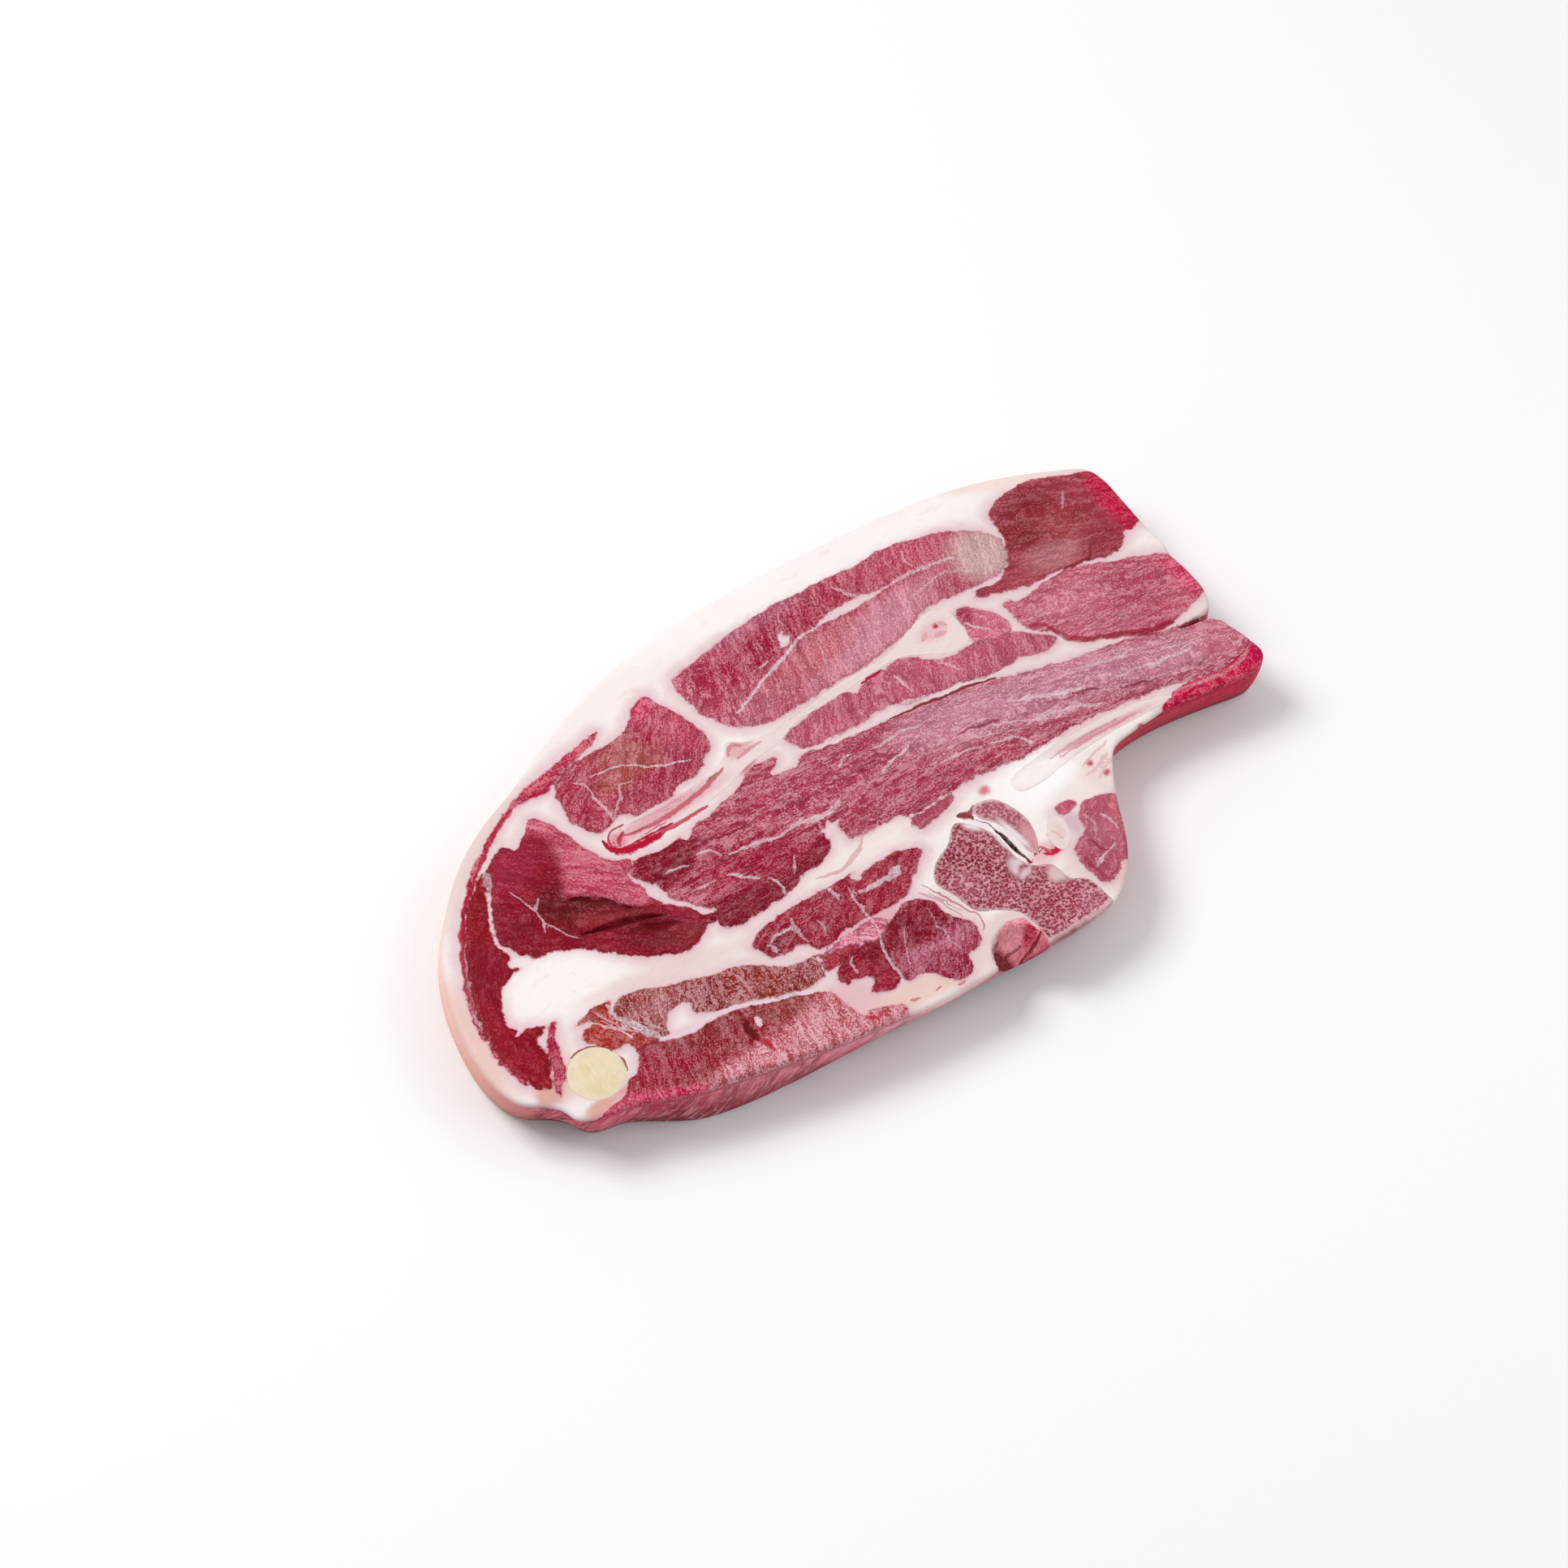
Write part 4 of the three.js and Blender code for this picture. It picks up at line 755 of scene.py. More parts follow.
def nearest(path, points, reach=FAR):
    """Distance from points to a path, no more than a reach, and the side and length along it."""
    low, high = path.min(0) - reach, path.max(0) + reach
    near = np.flatnonzero(((points > low) & (points < high)).all(1))
    best = np.full(len(near), reach)
    side = np.ones(len(near))
    along = np.zeros(len(near))
    chosen = points[near]
    travelled = 0.0
    for a, b in zip(path[:-1], path[1:]):
        step = b - a
        length = np.hypot(*step)
        offset = chosen - a
        share = np.clip(offset @ step / (length * length + 1e-12), 0, 1)
        gap = offset - share[:, None] * step
        distance = np.hypot(gap[:, 0], gap[:, 1])
        closer = distance < best
        best[closer] = distance[closer]
        side[closer] = np.sign(step[0] * offset[closer, 1] - step[1] * offset[closer, 0])
        along[closer] = travelled + share[closer] * length
        travelled += length
    result = [np.full(len(points), reach), np.ones(len(points)), np.zeros(len(points))]
    for whole, part in zip(result, (best, side, along)):
        whole[near] = part
    return result


def depth_in(loop, points):
    """Signed distance to a loop, positive inside, cut off at FAR."""
    distance = nearest(np.vstack([loop, loop[:1]]), points)[0]
    return np.where(contains(loop, points), distance, -distance)


def shrunk(loop, distance):
    """A loop moved inwards, without the points that cross over in its sharp tips."""
    moved = grow(loop, -distance)
    return moved[depth_in(loop, moved) > 0.8 * distance]


def ripple(points, size, seed):
    """Smooth noise from about -1 to 1, with features of one size in mm."""
    return np.array([noise.noise((x / size + seed, y / size - seed, z / size)) for x, y, z in points])


def wandering(points, reach, size, seed):
    """Points moved about by smooth noise, so that borders drawn through them wander."""
    moves = [noise.noise_vector((x / size, y / size, seed)) for x, y in points]
    return points + reach * np.array(moves)[:, :2]


def in_spot(points, centre, radii, turn):
    """How much points are in a soft oval spot: 1 at its middle, 0 a little past its edge."""
    offset = points - place(centre)
    c, s = math.cos(math.radians(turn)), math.sin(math.radians(turn))
    out = np.hypot((offset[:, 0] * c + offset[:, 1] * s) / radii[0],
                   (offset[:, 1] * c - offset[:, 0] * s) / radii[1])
    return smooth(1.35, 0.45, out)


def spots_on(points, colours, spots, within=None):
    """Colours with soft spots laid over them, each only where within allows it."""
    for centre, radii, turn, code, strength in spots:
        weight = strength * in_spot(points, centre, radii, turn)
        if within:
            weight = weight * within(centre)
        colours += weight[:, None] * (pigment(code) - colours)
    return colours


def rounded(radius, past):
    """How far a rounded edge draws back, at a distance past where its bend starts."""
    return radius - math.sqrt(max(radius ** 2 - max(past, 0) ** 2, 0))


def wall_profile(z, top):
    """How far the wall bulges out at a height, and how far its rounded edges draw it back."""
    bulge = BELLY_BULGE * np.sin(np.pi * z / top) ** 0.8
    return bulge, rounded(EDGE_ROUND, z - top + EDGE_ROUND) + rounded(FOOT_ROUND, FOOT_ROUND - z)


def edge_share(kind, times):
    """How much the wall is of a kind at times round the edge, counted in drawn stations."""
    flags = [float(row[3] == kind) for row in EDGE]
    return np.interp(times, np.arange(len(EDGE)), flags, period=len(EDGE))


class Body:
    """The whole slice's outline at any height."""

    def __init__(self):
        stations = place([row[:2] for row in EDGE])
        feet = grow(stations, [-row[2] for row in EDGE])
        times = np.linspace(0, len(EDGE), 24 * len(EDGE))
        dense = np.column_stack([curve_at(stations, times, closed=True), times])
        self.count = int(path_length(dense) / (FINE_STEP * 1.05))
        self.times = even(dense, self.count + 1)[:-1, 2]
        self.lengths = np.arange(self.count) * path_length(dense) / self.count
        self.head = curve_at(stations, self.times, closed=True)
        self.foot = curve_at(feet, self.times, closed=True)
        self.eased_foot = eased(self.foot, FOOT_EASE)
        self.slot = edge_share("slot", self.times)

    def time_of(self, spot):
        """The time on the edge that is nearest to a drawn place."""
        return float(self.times[np.hypot(*(self.head - place(spot)).T).argmin()])

    def ring(self, z, top):
        """The outline at a height, with the time of each point in a third column."""
        low = 1 - z / top
        foot = self.foot + (self.eased_foot - self.foot) * smooth(0, 0.5, low)
        straight = self.head + (foot - self.head) * low
        bulge, drawn_back = wall_profile(z, top)
        bulge = bulge * (1 - smooth(0.1, 0.6, self.slot))
        drawn_back = drawn_back * (1 - (1 - SLOT_ROUND / EDGE_ROUND) * smooth(0.2, 0.9, self.slot))
        return np.column_stack([grow(straight, bulge - drawn_back), self.times])


def split(ring, hole):
    """A ring's part outside a hole that opens through it, its part inside, and the hole's edge between.

    The first runs from the hole's far side all the way round; the others run from where it ends."""
    inside = contains(hole, ring[:, :2])
    leave = int(np.flatnonzero(inside & ~np.roll(inside, -1))[0])
    ring = np.roll(ring, -leave - 1, axis=0)
    inside = np.roll(inside, -leave - 1)
    enter = int(np.flatnonzero(inside)[0])
    closed = np.vstack([hole, hole[:1]])

    def crossing(a, b):
        gaps = nearest(closed, np.vstack([a[:2], b[:2]]))[0]
        share = gaps[0] / (gaps[0] + gaps[1])
        middle = a + (b - a) * share
        middle[2] = b[2] if abs(a[2] - b[2]) > 1 else middle[2]
        return middle

    first = crossing(ring[-1], ring[0])
    last = crossing(ring[enter - 1], ring[enter])
    outer = np.vstack([first, ring[:enter], last])
    within = np.vstack([last, ring[enter:], first])
    kept = contains(ring[:, :2], hole)
    start = int(np.flatnonzero(kept & ~np.roll(kept, 1))[0])
    edge = np.roll(hole, -start, axis=0)[np.roll(kept, -start)]
    if np.hypot(*(edge[0] - last[:2])) > np.hypot(*(edge[-1] - last[:2])):
        edge = edge[::-1]
    edge = np.column_stack([edge, np.full(len(edge), last[2])])
    return outer, within, np.vstack([last, edge, first])


class Shell:
    """A mesh put together from lids and strips, in which the points of the wall know their time."""

    def __init__(self):
        self.points = []
        self.times = []
        self.faces = []
        self.count = 0

    def add(self, points, times=NO_TIME):
        """Adds points and gives their numbers."""
        first = self.count
        self.points.append(np.asarray(points, float))
        self.times.append(np.broadcast_to(times, (len(points),)))
        self.count += len(points)
        return np.arange(first, self.count)

    def wall(self, rings):
        """Closed bands between rings of equally many points, from the uppermost down, anticlockwise."""
        for upper, lower in zip(rings[:-1], rings[1:]):
            after_up, after_low = np.roll(upper, -1), np.roll(lower, -1)
            self.faces.append(np.column_stack([upper, lower, after_low]))
            self.faces.append(np.column_stack([upper, after_low, after_up]))

    def lid(self, rings, inner, up):
        """A face between an outer ring, the rings of its holes and loose points inside."""
        ids = np.concatenate([*rings, inner]).astype(int)
        everything = np.vstack(self.points)
        flat = [Vector(p[:2]) for p in everything[ids]]
        edges = []
        start = 0
        for ring in rings:
            edges += [(start + i, start + (i + 1) % len(ring)) for i in range(len(ring))]
            start += len(ring)
        verts, _, faces, origins, _, _ = delaunay_2d_cdt(flat, edges, [], 1, 1e-6)
        crossings = [tuple(v) for v, origin in zip(verts, origins) if not origin]
        if crossings or len(verts) != len(flat):
            raise ValueError(f"a lid's outline crosses itself near {crossings[:6]}")
        back = np.array([origin[0] for origin in origins])
        faces = ids[back[np.array(faces)]]
        middles = everything[faces][:, :, :2].mean(1)
        for ring in rings[1:]:
            hole = contains(everything[ring][:, :2], middles)
            faces, middles = faces[~hole], middles[~hole]
        self.faces.append(faces if up else faces[:, ::-1])

    def mesh(self, name):
        """The finished mesh, and its points in millimetres."""
        points = np.vstack(self.points)
        data = bpy.data.meshes.new(name)
        data.from_pydata((points * MM).tolist(), [], np.vstack(self.faces).tolist())
        data.validate()
        data.polygons.foreach_set("use_smooth", [True] * len(data.polygons))
        data.update()
        return data, points


def hexagons(low, high, step, jitter):
    """A sheet of points in even triangles, each moved a little at random."""
    rows = np.arange(low[1], high[1], step * math.sqrt(3) / 2)
    columns = np.arange(low[0], high[0], step)
    grid = np.array([(x + (step / 2 if i % 2 else 0), y) for i, y in enumerate(rows) for x in columns])
    return grid + np.random.default_rng(1).uniform(-jitter, jitter, grid.shape)


def filling(outer, holes, step, extra=()):
    """Loose points inside an outline and off its holes, none too near an edge or another."""
    grid = hexagons(outer.min(0), outer.max(0), step, jitter=step * 0.12)
    grid = grid[contains(outer, grid)]
    for hole in holes:
        grid = grid[~contains(hole, grid)]
    edges = np.vstack([outer, *holes])
    tree = kdtree.KDTree(len(edges) + sum(len(e) for e in extra))
    for i, (x, y) in enumerate([p for group in (edges, *extra) for p in group]):
        tree.insert((x, y, 0), i)
    tree.balance()
    clear = [tree.find((x, y, 0))[2] > step * 0.55 for x, y in grid]
    return np.vstack([grid[clear], *extra])


def furrow_half(width, share):
    """Half a furrow's width at a share of its length; it tapers to both ends."""
    return 0.5 * width * np.sin(np.pi * share) + 0.05


class Relief:
    """The height of the flesh's cut face over any place."""

    def __init__(self, muscles, holes):
        self.muscles = muscles
        self.holes = [np.vstack([loop, loop[:1]]) for loop in holes]
        self.furrows = [(smooth_path(path, 0.5), width, depth) for path, width, depth, _ in FURROWS]

    def extra_points(self):
        """More points along the furrows, so that their sides are sharp."""
        rows = []
        for path, width, _ in self.furrows:
            half = furrow_half(width, np.linspace(0, 1, len(path)))
            along = np.gradient(path, axis=0)
            along /= np.linalg.norm(along, axis=1)[:, None]
            across = np.column_stack([-along[:, 1], along[:, 0]])
            for offset in (-1.25, -0.85, -0.4, 0, 0.4, 0.85, 1.25):
                rows.append((path + across * (half * offset)[:, None])[2:-2])
        return rows

    def furrow_depth(self, points):
        """How far the furrows go down."""
        total = np.zeros(len(points))
        for path, width, depth in self.furrows:
            distance, _, along = nearest(path, points)
            share = np.clip(along / path_length(path), 0, 1)
            profile = smooth(1.15, 0.25, distance / furrow_half(width, share))
            total = np.maximum(total, depth * profile * np.sin(np.pi * share) ** 0.5)
        return total

    def canal_floor(self, points):
        """The height of the canal's hollow, and a height above the face outside it."""
        x, y, z = (*place(CANAL["centre"]), CANAL["height"])
        a, b, c = CANAL["radii"]
        inside = 1 - ((points[:, 0] - x) / a) ** 2 - ((points[:, 1] - y) / b) ** 2
        floor = z - c * np.sqrt(np.maximum(inside, 0))
        return np.where(inside > 0, floor, THICKNESS + 2)

    def height(self, points):
        """Muscles stand up from the fat, swell a little, and go down to it at the bones."""
        lean = self.muscles.lean(points)
        flat = raised(points, 0)
        rise = MUSCLE_RISE * smooth(-0.5, 0.9, lean)
        pillow = 0.12 * smooth(0.5, 4, lean)
        swell = 0.14 * ripple(flat, 9, 3) + 0.07 * ripple(flat, 3.2, 11) + 0.04 * ripple(flat, 1.3, 23)
        top = FAT_TOP + rise + pillow + swell * smooth(-3, 1, lean) + 0.1 * ripple(flat, 14, 5)
        for hole in self.holes:
            top += smooth(1.4, 0.3, nearest(hole, points)[0]) * (FAT_TOP - top)
        canal = self.canal_floor(points) + 0.2 * ripple(flat, 1.6, 31)
        return np.minimum(top - self.furrow_depth(points), canal)


class Muscles:
    """The muscles' outlines, and fields over the cut face that follow from them."""

    def __init__(self):
        self.loops = {name: smooth_loop(m["outline"], 0.8) for name, m in MUSCLES.items()}
        self.wedges = [smooth_loop(outline, 0.8) for outline in FAT_WEDGES]
        self.paths = {name: smooth_path(m["grain"], 2.0) for name, m in MUSCLES.items()}

    def depths(self, points):
        return np.array([depth_in(loop, points) for loop in self.loops.values()])

    def lean(self, points, depths=None):
        """Distance into the nearest muscle, negative in fat."""
        best = (self.depths(points) if depths is None else depths).max(0)
        for wedge in self.wedges:
            best = np.minimum(best, -depth_in(wedge, points))
        return best


def lines_near(points, lines):
    """The way to the nearest line in half-widths, as a vector off the plan where no line is near.

    The face's colours are worked out between its points from this vector, so thin lines stay crisp.
    """
    best = np.full(len(points), OFF_LINE[2])
    way = np.tile(OFF_LINE, (len(points), 1))
    strength = np.zeros(len(points))
    tint = np.zeros((len(points), 3))
    for half, power, code, drawn in lines:
        path = smooth_path(drawn, 0.7)
        distance, _, along = nearest(path, points)
        travelled = np.concatenate([[0], np.cumsum(np.linalg.norm(np.diff(path, axis=0), axis=1))])
        taper = half * (0.35 + 0.65 * np.sin(np.pi * np.clip(along / travelled[-1], 0, 1)) ** 0.5)
        closer = np.flatnonzero(distance / taper < best)
        best[closer] = (distance / taper)[closer]
        strength[closer] = power
        tint[closer] = pigment(code)
        closer = closer[distance[closer] < max(0.9, 1.7 * half)]
        foot = np.column_stack([np.interp(along[closer], travelled, column) for column in path.T])
        way[closer, :2] = (foot - points[closer]) / taper[closer, None]
        way[closer, 2] = 0
    return way, strength, tint


def as_seen(points):
    """Where a place below the face is seen in the plan of the face, from the front above."""
    return points[:, :2] + (1 - points[:, 2] / THICKNESS)[:, None] * FOOT_SHIFT


def of_muscle(key, choice):
    """A number of the muscle that each point belongs to."""
    return np.array([muscle[key] for muscle in MUSCLES.values()])[choice]


def lean_paint(plan, choice, muscles):
    """The lean's colour and its share of pale fleck: the muscle's, with its spots and patches."""
    tint = np.array([pigment(muscle["colour"]) for muscle in MUSCLES.values()])[choice]
    tint = spots_on(plan, tint, TINTS["lean"],
                    lambda spot: choice == muscles.depths(place([spot])).argmax())
    fleck = of_muscle("fleck", choice)
    for code, patch_fleck, softness, outline in PATCHES:
        weight = smooth(-softness, softness, depth_in(smooth_loop(outline, 0.8), plan))
        tint += weight[:, None] * (pigment(code) - tint)
        fleck += weight * (patch_fleck - fleck)
    return tint, fleck


def fat_paint(plan, lean):
    """The fat's colour, paler the further it is from lean."""
    deep = smooth(-0.2, -4, lean)[:, None]
    fat = pigment("thin_fat") + deep * (pigment("deep_fat") - pigment("thin_fat"))
    return spots_on(plan, fat, TINTS["fat"])


def grain_paint(points, plan, choice, muscles):
    """How far each point is along and across its muscle's fibres, and its height."""
    grain = np.zeros((len(points), 3))
    for i, path in enumerate(muscles.paths.values()):
        mine = np.flatnonzero(choice == i)
        distance, side, along = nearest(path, plan[mine], reach=400)
        grain[mine] = np.column_stack([along + 60 * i, distance * side, points[mine, 2]])
    return grain


def wall_colour_and_shade(points, clock, body):
    """The wall's colour, from stretch to stretch round the edge and from its head to its foot, where it is
    darker: partly its own colour, partly painted shade.
    """
    starts = [body.time_of(spot) for spot, _, _ in WALL_COLOURS]

    def around(codes):
        colours = np.array([pigment(code) for code in codes])
        return np.column_stack([np.interp(clock, starts, column, period=len(EDGE)) for column in colours.T])

    head = around([code for _, code, _ in WALL_COLOURS])
    # The foot's darker colours are partly the wall's own colour and partly painted shade
    foot = around([code for _, _, code in WALL_COLOURS])
    blend = smooth(0.05, 0.8, np.clip(points[:, 2] / FAT_TOP, 0, 1))[:, None]
    return np.minimum(WALL_GAIN * (foot + blend * (head - foot)), WALL_LIMIT)


def paint_wall(fields, points, times, body):
    """Takes the fields from the face's pattern to the wall's over the first millimetres down."""
    on_wall = times >= 0
    clock = np.where(on_wall, times, 0)
    drop = FAT_TOP - points[:, 2]
    into = np.where(on_wall, smooth(0.2, 2.4, drop), 0)
    fat = edge_share("fat", clock)
    wall = wall_colour_and_shade(points, clock, body)
    goals = {
        "tint": wall, "fat": wall, "lean": 3 - 6 * fat, "fleck": 0.3 * fields["fleck"], "marble": 0,
        "ragged": 0.8,
    }
    for name, goal in goals.items():
        share = into[:, None] if fields[name].ndim == 2 else into
        fields[name] = fields[name] + share * (goal - fields[name])
    seam, seam_power, _ = lines_near(as_seen(points), WALL_SEAMS)
    lower = into > 0.3
    fields["seam"][lower] = seam[lower]
    fields["seam_power"][lower] = seam_power[lower]
    fields["crease"][lower] = OFF_LINE
    arc = np.interp(clock, body.times, body.lengths)
    grain = np.column_stack([arc + 0.5 * drop + 0.5 * ripple(points, 4, 61), drop, 0 * drop])
    lower = into > 0.5
    fields["grain"][lower] = grain[lower]
    fields["silver"] = into * edge_share("membrane", clock)
    fields["rind"] = into * fat


def paint_flesh(points, times, muscles, body):
    """Everything that the flesh's material reads at each point."""
    plan = wandering(wandering(points[:, :2], 0.55, 2.6, 5), 0.3, 1.0, 9)
    depths = muscles.depths(plan)
    choice = depths.argmax(0)
    lean = muscles.lean(plan, depths)
    tint, fleck = lean_paint(plan, choice, muscles)
    seams = [(half, power, "seam_fat", path) for half, power, path in SEAMS]
    seam, seam_power, _ = lines_near(plan, seams)
    # The furrows' bottoms are drawn as dark lines: painted shade in the folds and in the joint's gap
    fold_shade = [(0.4 * width, 0.85, code, path) for path, width, _, code in FURROWS]
    crease, crease_power, crease_tint = lines_near(plan, CREASES + fold_shade)
    fields = {
        "lean": lean, "tint": tint, "fleck": fleck, "marble": of_muscle("marble", choice),
        "fat": fat_paint(plan, lean), "ragged": np.full(len(points), 0.32),
        "grain": grain_paint(points, plan, choice, muscles), "seam": seam, "seam_power": seam_power,
        "crease": crease, "crease_power": crease_power, "crease_tint": crease_tint,
    }
    paint_wall(fields, points, times, body)
    return fields


def store(data, fields):
    """Writes named fields onto a mesh's points."""
    for name, values in fields.items():
        values = np.asarray(values, float)
        if values.ndim == 1:
            attribute = data.attributes.new(name, "FLOAT", "POINT")
            attribute.data.foreach_set("value", values.astype(np.float32))
        elif name == "grain":
            attribute = data.attributes.new(name, "FLOAT_VECTOR", "POINT")
            attribute.data.foreach_set("vector", values.astype(np.float32).ravel())
        else:
            attribute = data.attributes.new(name, "FLOAT_COLOR", "POINT")
            full = np.column_stack([values, np.ones(len(values))])
            attribute.data.foreach_set("color", full.astype(np.float32).ravel())


class Term:
    """A node's output that sums can be written with."""

    def __init__(self, graph, socket):
        self.graph = graph
        self.socket = socket

    def __add__(self, other):
        return self.graph.math("ADD", self, other)

    def __sub__(self, other):
        return self.graph.math("SUBTRACT", self, other)

    def __rsub__(self, other):
        return self.graph.math("SUBTRACT", other, self)

    def __mul__(self, other):
        return self.graph.math("MULTIPLY", self, other)

    def __abs__(self):
        return self.graph.math("ABSOLUTE", self)

    __radd__ = __add__
    __rmul__ = __mul__


class Graph:
    """A material's node tree, written as sums of terms."""

    def __init__(self, name):
        self.material = bpy.data.materials.new(name)
        self.material.use_nodes = True
        self.tree = self.material.node_tree
        self.tree.nodes.clear()
        self.shader = self.node("BsdfPrincipled")
        self.tree.links.new(self.shader.outputs[0], self.node("OutputMaterial").inputs["Surface"])

    def node(self, kind, **settings):
        """A new node with some of its settings changed."""
        made = self.tree.nodes.new("ShaderNode" + kind)
        for name, value in settings.items():
            setattr(made, name, value)
        return made

    def put(self, socket, value):
        """Links a term to a socket, or sets it to a number, a vector or a colour."""
        if isinstance(value, Term):
            self.tree.links.new(value.socket, socket)
        else:
            socket.default_value = (*value, 1) if socket.type == "RGBA" else value

    def wired(self, node, output, inputs):
        """One output of a node, with its inputs set by their names or numbers."""
        for name, value in inputs.items():
            self.put(node.inputs[name], value)
        return Term(self, node.outputs[output])

    def field(self, name, output="Fac"):
        """What is painted on the mesh under a name."""
        return self.wired(self.node("Attribute", attribute_name=name), output, {})

    def math(self, operation, *values):
        return self.wired(self.node("Math", operation=operation), 0, dict(enumerate(values)))

    def clamped(self, value):
        """A number held between 0 and 1."""
        return self.wired(self.node("Clamp"), 0, {0: value})

    def vector_math(self, operation, output, *values):
        return self.wired(self.node("VectorMath", operation=operation), output, dict(enumerate(values)))

    def scale(self, vector, factors):
        return self.vector_math("MULTIPLY", "Vector", vector, factors)

    def length(self, name):
        """The length of a painted vector."""
        return self.vector_math("LENGTH", "Value", self.field(name, "Vector"))

    def place(self):
        """The place on the object in millimetres."""
        return self.scale(self.wired(self.node("TexCoord"), "Object", {}), (1 / MM,) * 3)

    def noise(self, vector, size, detail=2.0, roughness=0.55, distortion=0.0, output="Fac"):
        """Noise from about 0.2 to 0.8, with features of a size in the vector's own units."""
        return self.wired(self.node("TexNoise"), output, {
            "Vector": vector, "Scale": 1 / size, "Detail": detail, "Roughness": roughness,
            "Distortion": distortion,
        })

    def cells(self, vector, size):
        """The distance to the middle of the nearest of many cells."""
        return self.wired(self.node("TexVoronoi"), "Distance", {"Vector": vector, "Scale": 1 / size})

    def ramp(self, value, low, high):
        """A soft step from 0 at low to 1 at high."""
        node = self.node("MapRange", interpolation_type="SMOOTHSTEP")
        return self.wired(node, 0, {0: value, 1: low, 2: high})

    def mix(self, share, a, b):
        """The colour b laid over the colour a by a share."""
        return self.wired(self.node("Mix", data_type="RGBA"), 2, {0: share, 6: a, 7: b})

    def brighten(self, colour, value, saturation=1.0):
        node = self.node("HueSaturation")
        return self.wired(node, 0, {"Value": value, "Saturation": saturation, "Color": colour})

    def bump(self, height, strength, distance):
        node = self.node("Bump")
        relief = self.wired(node, 0, {"Strength": strength, "Distance": distance, "Height": height})
        self.put(self.shader.inputs["Normal"], relief)

    def finish(self, colour, roughness, coat=0.0, scatter=0.0):
        """The material with its moist coat and the light that goes into it."""
        self.put(self.shader.inputs["Base Color"], colour)
        self.put(self.shader.inputs["Roughness"], roughness)
        self.shader.inputs["IOR"].default_value = 1.4
        self.shader.inputs["Specular IOR Level"].default_value = 0.1
        self.shader.inputs["Coat Weight"].default_value = coat
        self.shader.inputs["Coat Roughness"].default_value = 0.22
        self.shader.inputs["Subsurface Weight"].default_value = scatter
        self.shader.inputs["Subsurface Radius"].default_value = (1.0, 0.45, 0.35)
        self.shader.inputs["Subsurface Scale"].default_value = 1.2 * MM
        return self.material


def meat_textures(g, spot, grain):
    """Fibres along a muscle's grain, a weave across them, their bundles, and fine salt between them."""
    fibres = g.ramp(g.noise(g.scale(grain, (0.16, 1.0, 0.4)), 0.54, roughness=0.6), 0.34, 0.66)
    weave = g.ramp(g.noise(g.scale(grain, (1.0, 0.3, 0.4)), 0.54), 0.35, 0.65)
    bundles = g.ramp(g.noise(g.scale(grain, (0.12, 1.0, 0.4)), 2.0), 0.34, 0.66)
    salt = g.ramp(g.noise(spot, 0.46, roughness=0.7), 0.35, 0.65)
    return fibres, weave, bundles, salt


def lean_look(g, spot, grain, textures):
    """The painted tint, darker and lighter along its fibres, with pale specks, strands and veins."""
    fibres, weave, bundles, salt = textures
    tint = g.field("tint", "Color")
    fleck = g.field("fleck")
    cloud = g.ramp(g.noise(spot, 5.0, detail=3), 0.3, 0.7)
    texture = 0.32 * fibres + 0.28 * weave + 0.2 * bundles + 0.28 * salt - 0.54
    shade = texture * (0.55 * fleck + 0.36) + 0.02 * fleck + 0.2 * cloud + 0.9
    colour = g.brighten(tint, shade, 0.1 * fleck - 0.28 * fleck * texture + 1.0)

    # Paler specks where fibres and cross fibres meet, and long pale strands in the flecked muscles
    level = 0.56 - 0.12 * fleck
    film = 0.28 * fibres + 0.26 * weave + 0.16 * bundles + 0.3 * salt
    film = g.ramp(film, level, level + 0.14) * (0.95 * fleck + 0.1)
    strand = g.ramp(abs(g.noise(g.scale(grain, (0.07, 1.0, 0.4)), 1.5) - 0.5), 0.03, 0.008)
    strand = strand * g.ramp(g.noise(g.scale(grain, (0.2, 0.8, 1)), 4.0), 0.48, 0.62)
    film = g.math("MAXIMUM", film, strand * fleck)
    speck = g.mix(0.5 * fleck + 0.25, g.brighten(tint, 1.6), pigment("speck"))
    colour = g.mix(film, colour, speck)

    # Veins of fat that wind through it
    winding = g.noise(spot, 1.5, detail=4, roughness=0.65, distortion=0.6)
    vein = g.ramp(abs(winding - 0.5), 0.05, 0.012) * g.ramp(g.noise(spot, 1.9), 0.42, 0.6)
    return g.mix(0.7 * vein * g.field("marble"), colour, pigment("vein"))


def fat_look(g, spot):
    """Nearly even fat with a few pinker strands."""
    colour = g.brighten(g.field("fat", "Color"), 0.08 * g.noise(spot, 6, detail=3) + 0.965)
    strands = g.ramp(g.noise(g.scale(spot, (0.35, 1, 1)), 1.8, distortion=0.8), 0.6, 0.72)
    return g.mix(0.14 * strands, colour, pigment("fat_strand"))


def with_lines(g, spot, colour, textures):
    """A colour with the pale seams, laced with lean, and the dark creases over it, some of which are painted
    shade.
    """
    fibres, _, _, salt = textures
    fray = 3.0 * (g.noise(spot, 0.6, roughness=0.7) - 0.5)
    width = 2.2 * g.noise(spot, 2.2) - 0.05
    seam = g.ramp(width * g.length("seam") + 0.7 * fray, 1.4, 0.7)
    lace = g.clamped(0.45 * (salt + fibres) + 0.3)
    colour = g.mix(seam * lace * g.field("seam_power"), colour, pigment("seam_fat"))
    crease = g.ramp(g.length("crease") + 0.3 * fray, 1.35, 0.6)
    return g.mix(crease * g.field("crease_power"), colour, g.field("crease_tint", "Color"))


